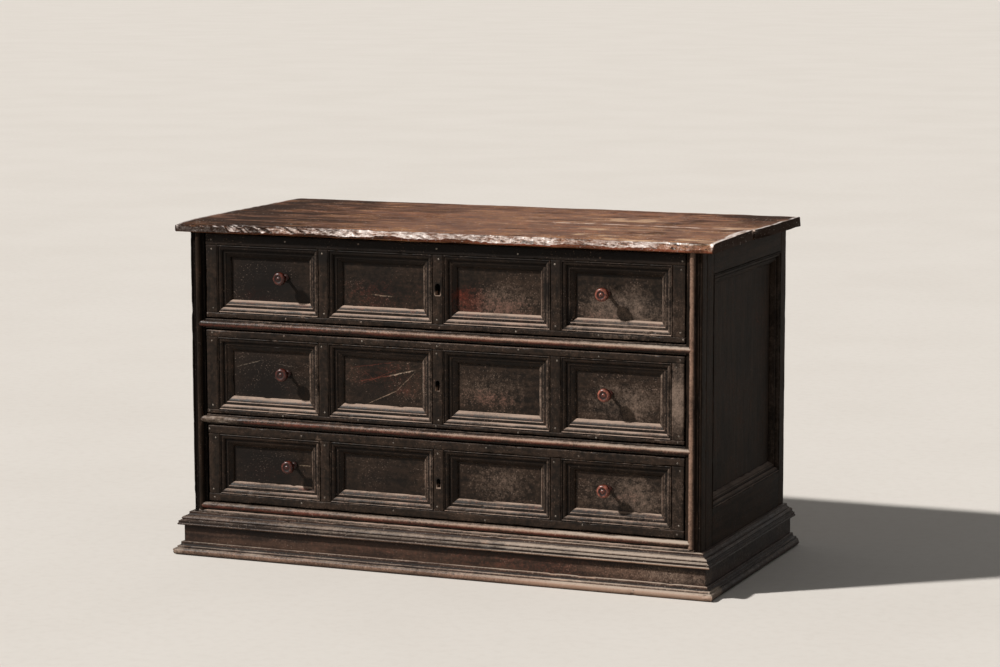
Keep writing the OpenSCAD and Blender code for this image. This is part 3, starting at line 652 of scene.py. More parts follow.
# Adds the marks and hurts of a front to the points of a piece. A mark is a kind, a place across and up
# the front, how far it reaches both ways and a strength. A hurt is a place, a radius and a depth
def markedBy(spots, hurts=()):
    def stain(points, age):
        ahead = passed(points[:, 1], caseFront + 50 * mm, caseFront + 20 * mm)
        for kind, x, z, wide, tall, strength in spots:
            far = np.hypot((points[:, 0] - x) / wide, (points[:, 2] - z) / tall)
            atLeast(age, marks.index(kind), strength * ahead * passed(far, 1.6, 0.2))
        for x, z, radius, deep in hurts:
            here = passed(np.hypot(points[:, 0] - x, points[:, 2] - z) / radius, 1, 0.3)
            lumps = cloud(points / 0.004, 71)
            points[:, 1] += here * deep * passed(lumps, 0.3, 0.75)
            atLeast(age, bareAndLitAt, here * lumps * 0.8)
            atLeast(age, grimeAndShadeAt, here * passed(lumps, 0.35, 0.65) * 0.9)
    return stain


# The case's own planes, from the frame
post = corners("front_board_right")
caseHalf, caseFront, openingHalf = post[1][0], post[0][1], post[0][0]
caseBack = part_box("right_side_back_stile")[1][1]
drawers = ("top", "middle", "bottom")

walnut = agedWood("dark_walnut", walnutLook)
topWood = agedWood("top_walnut", topLook)
rubbedWood = agedWood("rubbed_walnut", rubbedLook)
sideWood = agedWood("side_walnut", sideLook)
insideWood = agedWood("inside_softwood", insideLook)
iron = oldIron("old_iron", ironLook)
nailIron = oldIron("nail_iron", nailIronLook)
redWood = knobWood("knob_wood", knobLook)
print("materials made")


# The top: two boards, of which the front one has a broken front edge
topBoards = {"pitch": 1.8 * mm, "cell": 22 * mm, "breakFrom": 0.135, "breakSteps": 13, "bite": 5 * mm,
             "biteMore": 8 * mm, "breakHeight": 17 * mm, "breakMore": 5 * mm, "flakeLong": 10 * mm,
             "flakeTall": 2.8 * mm, "flakeSlant": 1.8, "flakeDeep": 3 * mm, "cornerDrop": 5 * mm,
             "frontDrop": 2.5 * mm, "endHollow": 11 * mm}
# From where to where the broken edge changes, measured from its left end: it is dark at the left, and
# calm at the right
edgePlaces = {"dark": (0.62, 0.2), "dull": (0.7, 0.2), "sooty": (0.75, 0.3), "cleaner": (0.35, 0.9),
              "rubbed": (0.6, 1.15), "calm": (1.10, 1.15), "tan": (1.09, 1.15)}
# From where to where the upper side changes, measured from its left end or from its front edge
topPlaces = {"settledLeft": (0.95, 0.05), "settledBack": (0.35, 0.6), "stainedRight": (1.0, 1.24),
             "stainedBack": (0.1, 0.25), "streakyRight": (0.4, 0.8), "rimFront": (110 * mm, 20 * mm),
             "rimRight": (0.3, 0.6), "wornRight": (0.7, 1.0), "jointRight": (0.5, 0.95)}


def topFrontBoard(look):
    low, high = corners("top_front_board")
    length, depth, thick = high - low
    steps, bite, rise = look["breakSteps"], look["bite"], look["breakHeight"]
    # Round the section: under the board to the front, up the front edge and back over the top
    under = [(p, 0.0) for p in (depth - 1.5 * mm, depth * 0.75, depth * 0.5, depth * 0.25, 20 * mm, 3 * mm)]
    face = [(0.8 * mm, 0.8 * mm), (0.0, 2.5 * mm), (0.0, 5 * mm), (0.2 * mm, thick - rise - 1.5 * mm)]
    broken = [(bite * t, thick - rise * (1 - t)) for t in np.linspace(0, 1, steps)]
    behind = [2 * mm, 5 * mm, 8 * mm, 12 * mm, 16 * mm, 21 * mm]
    far = np.linspace(36 * mm, depth - 8 * mm, 13).tolist() + [depth - 4 * mm, depth - 1.6 * mm]
    over = [(p, thick) for p in [bite + gap for gap in behind] + far]
    end = [(depth - 0.5 * mm, thick - 0.8 * mm), (depth, thick - 3 * mm), (depth, thick / 2),
           (depth, 1.5 * mm)]
    outline = np.array((under + face + broken + over + end)[::-1])
    order = np.arange(len(outline))[::-1]
    firstBroken = len(under) + len(face)
    rim = firstBroken + steps

    def shape(local, life):
        s = local[:, 0, 0]  # from the left end, in metres
        fresh = passed(s, look["breakFrom"] - 8 * mm, look["breakFrom"] + 4 * mm)
        fresh = fresh * (0.6 + 0.4 * passed(along(s, 60 * mm, 31), 0.2, 0.5))
        bites = look["biteMore"] * np.clip(along(s, 11 * mm, 33) - 0.5, 0, 1) * 1.6
        deep = 1.6 * mm + fresh * (bite * (0.4 + along(s, 26 * mm, 32)) + bites)
        crumbs = along(s, 9 * mm, 35) * 0.5 + along(s, 4 * mm, 59) * 0.5
        high = (3 + 3.5 * crumbs) * mm * (1 - fresh)
        high += fresh * (rise * (0.78 + 0.4 * along(s, 40 * mm, 34)) + look["breakMore"] * (crumbs - 0.5))
        high = np.clip(high, 2 * mm, thick - 4 * mm)
        for step in range(steps):
            t = step / (steps - 1)
            at = order[firstBroken + step]
            slant = s + high * t * look["flakeSlant"]
            spot = np.stack([slant / look["flakeLong"], high * t / look["flakeTall"]], -1)
            flake, small = flakes(spot, 36), flakes(spot * 2.3, 37)
            gouge = (flake + 0.35 * small) * look["flakeDeep"] * fresh
            gouge = gouge * min(1, 4 * t + 0.2) * min(1, 3.5 * (1 - t) + 0.25)
            gouge = gouge * (1 - 0.6 * passed(s, *edgePlaces["calm"]))
            local[:, at, 1] = np.maximum(deep * t + gouge * 0.75, 0.15 * mm)
            local[:, at, 2] = thick - high * (1 - t) - gouge * 0.35
            torn(life[:, at], np.maximum(fresh, 0.65 * passed(crumbs, 0.42, 0.6)), slant, high * t, flake)
            darkened = passed(s, *edgePlaces["dark"]) * passed(along(slant, 7 * mm, 60), 0.35, 0.6)
            atLeast(life[:, at], grimeAndShadeAt, 0.95 * darkened)
            life[:, at, paleAndLightAt] *= 1 - 0.1 * passed(s, *edgePlaces["dull"]) - 0.6 * darkened
            calmEnd(life[:, at], s, t, crumbs)
        # Flakes have come off the top behind the edge too, less and less
        reach = 6 * mm + 13 * mm * along(s, 45 * mm, 38) * fresh
        for step, gap in enumerate(behind):
            at = order[rim + step]
            local[:, at, 1] = deep + gap
            flake = flakes(flatSpots(s / (look["flakeLong"] * 1.6), gap / (4 * mm))[..., :2], 50)
            loose = fresh * passed(gap, reach, reach * 0.4)
            local[:, at, 2] -= loose * 2.2 * mm * flake
            torn(life[:, at], loose * 0.8, s, gap, flake)
            soot = passed(s, *edgePlaces["sooty"]) * passed(gap, 24 * mm, 6 * mm)
            soot = soot * passed(along(s, 6 * mm, 61), 0.3, 0.6)
            atLeast(life[:, at], grimeAndShadeAt, 0.95 * soot)
        lowFace = order[firstBroken - 1]
        local[:, lowFace, 2] = thick - high - 1.2 * mm
        for at in order[len(under) + 1:firstBroken]:
            life[:, at, bareAndLitAt] = 0.1 + 0.2 * along(s, 70 * mm, 44) + 0.25 * passed(s, *edgePlaces["rubbed"])
            cleaner = fresh * (0.3 + 0.45 * passed(s, *edgePlaces["cleaner"]))
            life[:, at, grimeAndShadeAt] = 1.05 - cleaner - 0.15 * (1 - fresh)
            life[:, at, paleAndLightAt] = 0.3 * (1 - fresh)
            life[:, at, redAt] = fresh * (0.9 + 0.5 * along(s, 90 * mm, 45))
        # The top is worn lower towards its front edge and most at the front left corner
        p = local[..., 1]
        upper = passed(local[..., 2], thick * 0.55, thick * 0.95)
        drop = look["frontDrop"] * np.exp(-p / (30 * mm))
        corner = np.exp(-local[..., 0] / 0.16) * np.exp(-p / (60 * mm))
        local[..., 2] -= upper * (drop + look["cornerDrop"] * corner)
        # The right end is worn back, most at the joint
        hollow = np.clip(p / depth, 0, 1) ** 1.3 * look["endHollow"]
        raggedEnds(local, life, length, hollow, 1)
        agedTop(life, local[..., 0], p, upper)
        jointLine(life, local[..., 0], passed(p, depth - 7 * mm, depth - 3 * mm) * upper)

    timber = Timber(3)
    age = dict(frontAge, pitch=look["pitch"], dent=0.9 * mm, chip=0.0, dust=0.0)
    timber.sweep(outline, 0, length, (low, *axisVectors), age, ends=1 * mm, shape=shape)
    finishPiece(timber, topWood, "top_front_board", crease=32)


# Torn fibres: light ones in clusters, whose paleness also paints their highlights, with dark lines between
# them and painted shade in the deep places
def torn(life, fresh, slant, up, flake):
    fine = cloud(flatSpots(slant / (10 * mm), up / (2.6 * mm)), 56)
    level = cloud(flatSpots(slant / (17 * mm), up / (4 * mm)), 57)
    line = passed(np.abs(level - 0.5), 0.05, 0.01)
    cluster = passed(along(slant, 38 * mm, 58), 0.2, 0.65)
    hollow = np.maximum(passed(flake, 0.55, 0.85), passed(fine, 0.34, 0.22))
    atLeast(life, bareAndLitAt, fresh * (0.2 + 0.4 * fine))
    atLeast(life, grimeAndShadeAt, fresh * np.maximum(line * 0.75, hollow * 0.85))
    atLeast(life, paleAndLightAt, fresh * (0.6 + 0.45 * cluster) * (0.64 + 0.56 * passed(fine, 0.38, 0.6)))


# The right end of the broken edge is rounder, tan and reddish, with a light rim
def calmEnd(life, s, t, crumbs):
    calm = passed(s, *edgePlaces["tan"])
    rim = passed(t, 0.7, 0.95)
    life[:, paleAndLightAt] *= 1 - calm * (0.75 - 0.6 * rim)
    atLeast(life, redAt, calm * (1 - rim) * (0.3 + 0.6 * crumbs))
    atLeast(life, bareAndLitAt, calm * (0.5 + 0.4 * rim))


# End grain of a top board, chipped and darkened; the dark of the end faces is partly painted shade
def raggedEnds(local, life, length, hollow, wideRim):
    s, p, q = (local[..., k].copy() for k in range(3))
    ragged = flatSpots(p / (12 * mm), q / (7 * mm))
    local[..., 0] -= passed(s, length - 50 * mm, length) * (hollow + 3 * mm * cloud(ragged, 39))
    local[..., 0] += passed(s, 40 * mm, 0) * 2.5 * mm * cloud(ragged, 40)
    ends = np.maximum(passed(s, length - 4 * mm, length - 1 * mm), passed(s, 4 * mm, 1 * mm))
    wide = 12 * mm + 30 * mm * cloud(ragged / 2.5, 51) * wideRim * passed(p, 0, 140 * mm)
    rim = np.maximum(passed(s, length - wide, length - wide * 0.7), passed(s, 12 * mm, 2 * mm)) - ends
    rim = rim * passed(q, q.max() * 0.4, q.max() * 0.9)
    crumbled = cloud(np.stack([s / (7 * mm), p / (12 * mm), q / (7 * mm)], -1), 47)
    life[..., bareAndLitAt] = np.maximum(life[..., bareAndLitAt] * (1 - ends), rim * 0.8 * cloud(ragged / 1.5, 46))
    atLeast(life, grimeAndShadeAt, ends * 1.3)
    life[..., grimeAndShadeAt] *= 1 - rim * 0.7
    life[..., paleAndLightAt] = life[..., paleAndLightAt] * (1 - ends) + rim * (0.1 + 1.4 * crumbled)


# Dirt that has settled at the left end and along the back of the top, and its reddish patches
def agedTop(life, fromLeft, fromFront, upper):
    spot = flatSpots(fromLeft / 0.14, fromFront / 0.03)
    broad = cloud(spot, 41) * 0.5 + cloud(spot * 2.7, 48) * 0.5
    settled = np.maximum(passed(fromLeft, *topPlaces["settledLeft"]) * 1.05,
                         passed(fromFront, *topPlaces["settledBack"]) * 0.6)
    stained = passed(fromLeft, *topPlaces["stainedRight"]) * passed(fromFront, *topPlaces["stainedBack"])
    atLeast(life, grimeAndShadeAt, upper * (settled + stained * 0.6) * (0.42 + 0.42 * passed(broad, 0.2, 0.7)))
    atLeast(life, redAt, upper * np.clip((cloud(spot / 1.7, 49) - 0.45) * 1.4, 0, 0.4))
    streaks = cloud(flatSpots(fromLeft / 0.13, fromFront / 0.02), 54) * 0.65
    streaks += cloud(flatSpots(fromLeft / 0.03, fromFront / 0.014), 52) * 0.35
    right = passed(fromLeft, *topPlaces["streakyRight"]) * upper
    atLeast(life, grimeAndShadeAt, 0.6 * right * passed(streaks, 0.58, 0.72))
    rim = passed(fromFront, *topPlaces["rimFront"]) * passed(fromLeft, *topPlaces["rimRight"])
    worn = 0.6 + 0.2 * passed(fromLeft, *topPlaces["wornRight"])
    atLeast(life, bareAndLitAt, right * (worn * passed(streaks, 0.5, 0.26) + 0.5 * rim * streaks))


# The light line of the joint between the two boards, clearest on the right
def jointLine(life, fromLeft, line):
    broken = 0.45 + 0.7 * passed(along(fromLeft, 20 * mm, 53), 0.3, 0.7)
    line = line * passed(fromLeft, *topPlaces["jointRight"]) * broken
    life[..., grimeAndShadeAt] *= 1 - line
    atLeast(life, bareAndLitAt, line)
    atLeast(life, paleAndLightAt, 0.65 * line)


def topBackBoard(look):
    low, high = corners("top_back_board")
    length, depth, thick = high - low

    def shape(local, life):
        s, p = local[..., 0].copy(), local[..., 1]
        upper = passed(local[..., 2], thick * 0.55, thick * 0.95)
        raggedEnds(local, life, length, look["endHollow"] * 0.7 * np.exp(-p / (45 * mm)), 0)
        agedTop(life, s, p + depth, upper)
        jointLine(life, s, passed(p, 5 * mm, 2 * mm) * upper)

    timber = Timber(11)
    age = dict(frontAge, pitch=5 * mm, cell=look["cell"], dent=0.9 * mm, edge=1.5 * mm, chip=4 * mm,
               chipFrom=0.5, dust=0.0)
    timber.board(low, high, 0, age, shape)
    finishPiece(timber, topWood, "top_back_board")


topFrontBoard(topBoards)
topBackBoard(topBoards)
print("top made")


# Boards of the case: posts with a quirked corner, side frames, rails and beads
caseParts = {"quirkAt": 5 * mm, "quirkWide": 1.8 * mm, "quirkDeep": 1.6 * mm, "postEdge": 2.2 * mm}


def frontPost(side, look):
    node = "front_board_left" if side < 0 else "front_board_right"
    low, high = corners(node)
    wide, deep, tall = high - low
    edge, at, gap, cutIn = look["postEdge"], look["quirkAt"], look["quirkWide"], look["quirkDeep"]
    # First value from the outer corner inwards, second value from the front face back
    outline = arc((edge, edge), edge, 180, 270, 4)
    outline += [(at, 0), (at + 0.3 * mm, cutIn), (at + gap - 0.3 * mm, cutIn), (at + gap, 0)]
    outline += [(wide * t, 0) for t in (0.35, 0.5, 0.65, 0.8, 0.92)]
    outline += [(wide - 0.8 * mm, 0), (wide, 0.8 * mm), (wide, deep / 2), (wide, deep), (wide / 2, deep)]
    outline += [(1 * mm, deep), (0, deep - 1 * mm), (0, deep - 4 * mm)]
    outline += [(0, deep * t) for t in (0.7, 0.5, 0.35, 0.2)]
    outer = (low[0] if side < 0 else high[0], low[1], low[2])
    timber = Timber(20 if side < 0 else 21)
    age = dict(frontAge, dent=0.35 * mm, rubbed=0.35)
    place = (outer, zAxis, (-side, 0, 0), yAxis)
    timber.sweep(np.array(outline), 0, tall, place, age, ends=0.8 * mm)
    # The left post is darkened all along: painted shade
    finishPiece(timber, sideWood, node, stain=markedBy([("grime", -0.6, 0.4, 0.3, 0.6, 1.1)]))


def caseBoard(node, axis, age, material, seed):
    timber = Timber(seed)
    for low, high in solidBoxes(node):
        timber.board(low, high, axis, age)
    finishPiece(timber, material, node)


panelMoulding = {"fillet": 3 * mm, "proud": 1.4 * mm, "groove": 1.5 * mm, "grooveDeep": 1.5 * mm,
                 "round": 7 * mm, "bandDeep": 7 * mm, "band": 7 * mm, "arris": 1.8 * mm, "step": 0.8 * mm,
                 "lip": 1.5 * mm, "sideSlope": 7 * mm,
                 "dirtyBand": (11.2 * mm, 12.4 * mm, 16 * mm, 17.4 * mm),
                 "dirtySlope": (19 * mm, 19.6 * mm, 22 * mm, 25 * mm), "dustySlope": (23 * mm, 27 * mm)}


# Section of a panel moulding: depth behind the strips' face, and distance from its outer edge.
# From there inwards lie a fillet, a groove, a round, a flat band with a worn arris, and a slope
def mouldingOutline(look, depth, slope):
    roundAt = look["fillet"] + look["groove"]
    bandAt = roundAt + look["round"]
    stepAt = bandAt + look["band"]
    slopeAt, slopeDeep = stepAt + look["step"], look["bandDeep"] + look["arris"] + 0.3 * mm
    fall = depth - look["lip"] - slopeDeep
    points = [(depth, 0), (depth * 0.4, 0), (0, 0)]
    points += [(-look["proud"] * math.sin(math.pi * t), look["fillet"] * t)
               for t in np.linspace(0, 1, 7)[1:-1]]
    points += [(0, look["fillet"]), (look["grooveDeep"], look["fillet"] + 0.1 * mm),
               (look["grooveDeep"], roundAt - 0.1 * mm)]
    points += [(look["bandDeep"] - (look["bandDeep"] - look["grooveDeep"] / 2) * math.cos(t),
                roundAt + look["round"] * math.sin(t)) for t in quarter(8)]
    points += [(look["bandDeep"], bandAt + look["band"] * t) for t in (0.1, 0.35, 0.62)]
    points += [(look["bandDeep"] + look["arris"] * (1 - math.cos(t)),
                stepAt - look["arris"] * (1 - math.sin(t))) for t in quarter(5)]
    points += [(slopeDeep, stepAt + 0.1 * mm)]
    points += [(slopeDeep + fall * (0.4 * (1 - math.cos(t * math.pi / 2)) + 0.6 * t), slopeAt + slope * t)
               for t in np.linspace(0, 1, 7)]
    return np.array(points + [(depth, slopeAt + slope), (depth, slopeAt / 2)])


def sideFrame(side):
    name = "left_side_" if side < 0 else "right_side_"
    seed = 30 if side < 0 else 40
    for k, (part, axis) in enumerate((("front_stile", 2), ("back_stile", 2), ("top_rail", 1),
                                      ("bottom_rail", 1), ("panel", 2))):
        caseBoard(name + part, axis, sideAge, sideWood, seed + k)
    low, high = corners(name + "moulding")
    outer = caseHalf * side
    depth = abs(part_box(name + "moulding")[0 if side > 0 else 1][0] - outer)
    outline = mouldingOutline(panelMoulding, depth, panelMoulding["sideSlope"])
    timber = Timber(seed + 7)
    timber.mouldingFrame(outline, (outer, low[1], low[2]), high[1] - low[1], high[2] - low[2],
                         yAxis, zAxis, -side * xAxis, dict(mouldAge, pitch=8 * mm))
    finishPiece(timber, sideWood, name + "moulding")


def halfRound(radius):
    back = [(-radius * 0.4, 1.5 * mm), (radius * 0.4, 1.5 * mm)]
    return np.array(arc((0, 0), radius, 0, 180, 10) + back) * [1, -1]


# A moulded lower edge of the lowest rail, between its bead and the base
lowFillet = {"tall": 6.2 * mm, "out": 6 * mm}


def filletOutline(look):
    out, tall = look["out"], look["tall"]
    curve = [(-(out - 0.8 * mm) * math.cos(t) - 0.4 * mm, 1.6 * mm + (tall - 1.6 * mm) * math.sin(t))
             for t in quarter(6)]
    return np.array([(1 * mm, 0), (-out, 0), (-out, 1.3 * mm)] + curve + [(1 * mm, tall)])


def beads():
    for side, node in ((-1, "upright_bead_left"), (1, "upright_bead_right")):
        low, high = corners(node)
        radius = (high[0] - low[0]) / 2
        timber = Timber(50 + side)
        place = (((low[0] + high[0]) / 2, caseFront, low[2]), zAxis, xAxis, yAxis)
        timber.sweep(halfRound(radius), lowFillet["tall"], high[2] - low[2], place, beadAge,
                     shape=beadWearAndLight(0.1 if side < 0 else 0.55))
        finishPiece(timber, sideWood if side < 0 else rubbedWood, node)
    timber = Timber(55)
    for low, high in solidBoxes("rail_beads"):
        radius = (high[2] - low[2]) / 2
        outline = halfRound(radius)
        reach = (high[0] - low[0]) / 2
        ends = reach - np.abs(outline[:, 0])
        place = ((0, caseFront, (low[2] + high[2]) / 2), xAxis, zAxis, yAxis)
        age = dict(beadAge, dust=0.6 if timber.parts else 1.0)  # the lowest one comes first and is dustiest
        timber.sweep(outline, -ends, ends, place, age, shape=beadWearAndLight(0.7, darkLeft=0.55, lit=0.4))
    finishPiece(timber, rubbedWood, "rail_beads", stain=lumpyEnd)


# The left end of the middle bead is gnawed and grey
def lumpyEnd(points, age):
    high = (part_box("bottom_drawer_board")[1][2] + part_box("middle_drawer_board")[0][2]) / 2
    here = passed(points[:, 0], -0.46, -0.50) * passed(np.abs(points[:, 2] - high), 20 * mm, 15 * mm)
    lumps = cloud(points / (0.007, 0.005, 0.005), 72)
    points[:, 1] += here * passed(lumps, 0.3, 0.8) * 3 * mm
    atLeast(age, paleAndLightAt, here * (0.25 + 0.5 * lumps))
    age[:, bareAndLitAt] = age[:, bareAndLitAt] * (1 - here * 0.7)
    age[:, redAt] = age[:, redAt] * (1 - here)


# A bead's crown is rubbed, with dents, and its back is darkened where it meets the rail: dirt and painted
# shade. With lit, its upper half gets a painted highlight and its underside painted shade, and it is paler
# towards the right: dust and a painted pool of light
def beadWearAndLight(rubbed, darkLeft=0.0, lit=None):
    def shape(local, life):
        out = -local[..., 2]
        crown = passed(out, 3 * mm, 6.5 * mm) * (1 - darkLeft * passed(local[..., 0], 0.1, -0.45))
        if lit:
            above = passed(local[..., 1], -2.5 * mm, 2 * mm)
            crown = crown * (0.3 + 0.7 * above)
            broken = cloud(local / (0.05, 0.004, 0.004), 64)
            right = passed(local[..., 0], 0.1, 0.5)
            life[..., paleAndLightAt] *= 0.4 + 0.6 * above
            life[..., paleAndLightAt] += lit * crown * above * (0.35 + 1.1 * broken)
            life[..., paleAndLightAt] *= 0.6 + 0.55 * right
            atLeast(life, grimeAndShadeAt, 0.38 * (1 - above))
        spot = local / (0.03, 0.01, 0.01)
        life[..., bareAndLitAt] *= rubbed
        atLeast(life, bareAndLitAt, crown * (rubbed + 0.4 * cloud(spot / 2.5, 61)))
        atLeast(life, grimeAndShadeAt, passed(out, 3.5 * mm, 0.5 * mm))
        life[..., redAt] = crown * rubbed * np.clip(cloud(local / 0.07, 62) * 1.6 - 0.4, 0, 1)
        if lit:
            reddish = 0.6 * (1 - above) * (0.3 + broken) + 0.55 * (1 - right) * broken
            life[..., redAt] += reddish * passed(out, 1 * mm, 5 * mm)
        local[..., 2] += crown * 1.1 * mm * np.clip(cloud(spot / 0.5, 63) - 0.6, 0, 1) * 2.5
    return shape


# The bottom rail is rubbed and paler on the right: wear and dust, and a painted pool of light
railMarks = [("bare", 0.5, 0.13, 0.34, 0.02, 0.5), ("pale", 0.56, 0.13, 0.28, 0.02, 0.3)]
boltHole = {"clear": 1 * mm, "deep": 11 * mm, "below": 5 * mm}


# Rails run between the posts. Three of them take the bolt of the drawer below
def rails():
    for k, (node, drawer) in enumerate((("upper_rail", "top"), ("rail_below_top_drawer", "middle"),
                                        ("rail_below_middle_drawer", "bottom"),
                                        ("rail_below_bottom_drawer", None))):
        low, high = corners(node)
        inside = node == "upper_rail"
        if not inside:
            low[0], high[0] = -openingHalf, openingHalf
        timber = Timber(70 + k)
        timber.board(low, high, 0, insideAge if inside else sideAge)
        if drawer:
            boltLow, boltHigh = corners(drawer + "_drawer_bolt")
            a, b = boltLow - boltHole["clear"], boltHigh + boltHole["clear"]
            outline = np.array([(a[0], a[1]), (b[0], a[1]), (b[0], b[1]), (a[0], b[1])])
            place = ((0, 0, low[2] - boltHole["below"]), zAxis, xAxis, yAxis)
            timber.cut(outline, place, boltHole["below"] + boltHole["deep"])
        if node == "rail_below_bottom_drawer":
            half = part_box("upright_bead_right")[1][0]
            place = ((0, caseFront, low[2]), *axisVectors)
            timber.sweep(filletOutline(lowFillet), -half, half, place, dict(mouldAge, dust=1.0), ends=1 * mm)
        finishPiece(timber, insideWood if inside else walnut, node, stain=markedBy(railMarks))


frontPost(-1, caseParts)
frontPost(1, caseParts)
sideFrame(-1)
sideFrame(1)
beads()
rails()
print("case made")


# The base: flat boards, a rounded foot and a cap moulding, on the front and both sides
footLook = {"out": 38 * mm, "round": 8 * mm, "step": 4 * mm, "fillet": 23 * mm, "filletTall": 5 * mm}
capLook = {"noseTall": 10 * mm, "hollow": 2 * mm, "fillet": 23 * mm, "filletTall": 1.8 * mm,
           "groove": 1.5 * mm, "grooveDeep": 2.4 * mm, "round": 6 * mm, "topFillet": 8.6 * mm,
           "topTall": 3.4 * mm, "rubbedNose": (4 * mm, 2.5 * mm),
           "shadedHollow": (4.2 * mm, 5.2 * mm, 9.2 * mm, 10.2 * mm),
           "dirtyCove": (20 * mm, 21 * mm, 25 * mm, 26.2 * mm)}


# Section of the foot moulding: projection from the case and height
def footOutline(look, inner, tall):
    centre = look["out"] - look["round"]
    stepTop = 2 * look["round"] + look["step"]
    stepOut = centre - 2 * mm
    wide, high = stepOut - look["fillet"], tall - look["filletTall"] - stepTop
    points = [(inner, 0), (centre * 0.8, 0)] + arc((centre, look["round"]), look["round"], -90, 90, 12)
    points += [(centre - 0.1 * mm, stepTop - 0.8 * mm), (centre - 0.8 * mm, stepTop), (stepOut, stepTop)]
    points += [(look["fillet"] + wide * (1 - math.sin(t)), stepTop + high * (1 - math.cos(t)))
               for t in quarter(6)[1:]]
    points += [(look["fillet"], tall - 1 * mm), (look["fillet"] - 1 * mm, tall), (inner, tall),
               (inner, tall / 2)]
    return np.array(points)


# The lighter bare and pale marks on the right of the base and foot are wear and dust, and also a painted pool
# of light
baseMarks = [
    ("red", 0.2, 0.045, 0.25, 0.03, 0.45), ("red", -0.15, 0.05, 0.2, 0.02, 0.3),
    ("bare", 0.47, 0.045, 0.25, 0.03, 0.5), ("pale", 0.56, 0.045, 0.14, 0.03, 0.35),
    ("pale", 0.6225, 0.045, 0.004, 0.035, 0.9)]
footMarks = [
    ("bare", 0.40, 0.010, 0.42, 0.012, 0.9), ("pale", 0.56, 0.010, 0.3, 0.012, 0.45),
    ("pale", 0.634, 0.022, 0.008, 0.014, 1.0), ("red", 0.15, 0.010, 0.2, 0.02, 0.5),
    ("red", -0.40, 0.010, 0.2, 0.02, 0.3), ("pale", -0.625, 0.012, 0.018, 0.014, 0.55)]
footHurts = [
    (-0.655, 0.014, 0.034, 9 * mm), (-0.60, 0.014, 0.012, 3 * mm), (0.05, 0.012, 0.008, 2 * mm),
    (0.46, 0.008, 0.010, 2 * mm), (0.63, 0.014, 0.018, 6 * mm)]
capMarks = [("red", -0.3, 0.11, 0.3, 0.02, 0.35), ("pale", 0.631, 0.100, 0.004, 0.02, 0.9)]
# Worm holes and knocks in the flat board and the cap
baseHurts = [
    (0.521, 0.085, 0.006, 3 * mm), (0.317, 0.084, 0.005, 3 * mm), (0.304, 0.085, 0.004, 3 * mm),
    (0.206, 0.044, 0.005, 3 * mm), (-0.003, 0.084, 0.004, 2 * mm), (-0.36, 0.087, 0.005, 3 * mm)]


# Section of the cap moulding. From below: a blunt nose, hollow above its rounded lower half, a thin
# fillet with a groove, a round that looks up, a cove and a fillet at the top
def capOutline(look, out, inner, tall):
    nose, groove, high = look["noseTall"], look["groove"], look["topTall"]
    points = [(0, 0), (inner, 0), (out - 2.4 * mm, 0)]
    points += arc((out - 2.4 * mm, 2.4 * mm), 2.4 * mm, -55, 78, 5)
    points += [(out - look["hollow"], nose * 0.52), (out - look["hollow"] - 0.3 * mm, nose * 0.7),
               (out - look["hollow"] + 0.2 * mm, nose * 0.93), (out - look["hollow"] - 0.6 * mm, nose)]
    outer, low = look["fillet"], nose + 0.3 * mm + look["filletTall"]
    points += [(outer + 0.2 * mm, nose + 0.3 * mm), (outer, low - 0.5 * mm), (outer - 0.5 * mm, low),
               (outer - look["grooveDeep"], low + 0.2 * mm), (outer - look["grooveDeep"], low + groove)]
    middle, foot = outer - 1.2 * mm - look["round"], low + groove
    points += arc((middle, foot), look["round"], 6, 84, 7)
    coveFoot, coveTop = foot + look["round"] + 0.8 * mm, tall - high
    points += [(middle - 1.4 * mm, foot + look["round"] - 1 * mm), (middle - 1.6 * mm, coveFoot)]
    points += [(look["topFillet"] + (middle - 1.8 * mm - look["topFillet"]) * (1 - math.sin(t)),
                coveTop - (coveTop - coveFoot) * math.cos(t)) for t in np.linspace(0.3, math.pi / 2, 5)]
    points += [(look["topFillet"], coveTop + 0.2 * mm), (look["topFillet"], tall - 0.7 * mm),
               (look["topFillet"] - 0.7 * mm, tall), (0, tall), (0, tall / 2)]
    return np.array(points)


# The hollow of the cap's nose and its cove are darkened and lose their dust: painted shade. The cap is also
# less rubbed and dusty towards the left, which paints shade there
def capWearAndShade(local, life):
    up = local[..., 2]
    hollow, cove = between(up, *capLook["shadedHollow"]), between(up, *capLook["dirtyCove"])
    atLeast(life, bareAndLitAt, 0.6 * passed(up, *capLook["rubbedNose"]) * (0.5 + cloud(local / 0.09, 92)))
    lighterRight(local, life)
    fade(life, 1 - 0.35 * passed(local[..., 0], -0.1, -0.55))
    atLeast(life, grimeAndShadeAt, 0.6 * hollow + 0.4 * cove)
    fade(life, 1 - 0.6 * np.maximum(hollow, cove))


# Towards the right end, what is bare or dusty is more so: wear and dust, and a painted pool of light
def lighterRight(local, life):
    right = passed(local[..., 0], -0.1, 0.5)
    life[..., bareAndLitAt] *= 1 + 0.9 * right
    haze = 0.12 * right * np.clip(life[..., paleAndLightAt] * 3, 0, 1)
    life[..., paleAndLightAt] = life[..., paleAndLightAt] * (1 + 0.5 * right) + haze


# Sweeps a section along the front and both sides of the case, mitred at the corners
def roundThreeSides(timber, outline, low, age, shape=None):
    out = outline[:, 0]
    front = (np.array([0, caseFront, low]), xAxis, -yAxis, zAxis)
    timber.sweep(outline, -caseHalf - out, caseHalf + out, front, age, shape=shape)

    # On the sides the base is darker and keeps less dust and rubbing: painted shade
    def madeDarker(local, life):
        if shape:
            shape(local, life)
        atLeast(life, grimeAndShadeAt, 0.65)
        fade(life, 0.35)

    for side in (-1, 1):
        place = (np.array([caseHalf * side, caseFront, low]), yAxis, xAxis * side, zAxis)
        timber.sweep(outline, -out, caseBack - caseFront, place, age, shape=madeDarker)


# Painted shadow on the flat board, close below the cap
def underNose(local, life):
    high = local[..., 2].max()
    atLeast(life, grimeAndShadeAt, 0.6 * passed(local[..., 2], high - 18 * mm, high - 8 * mm))


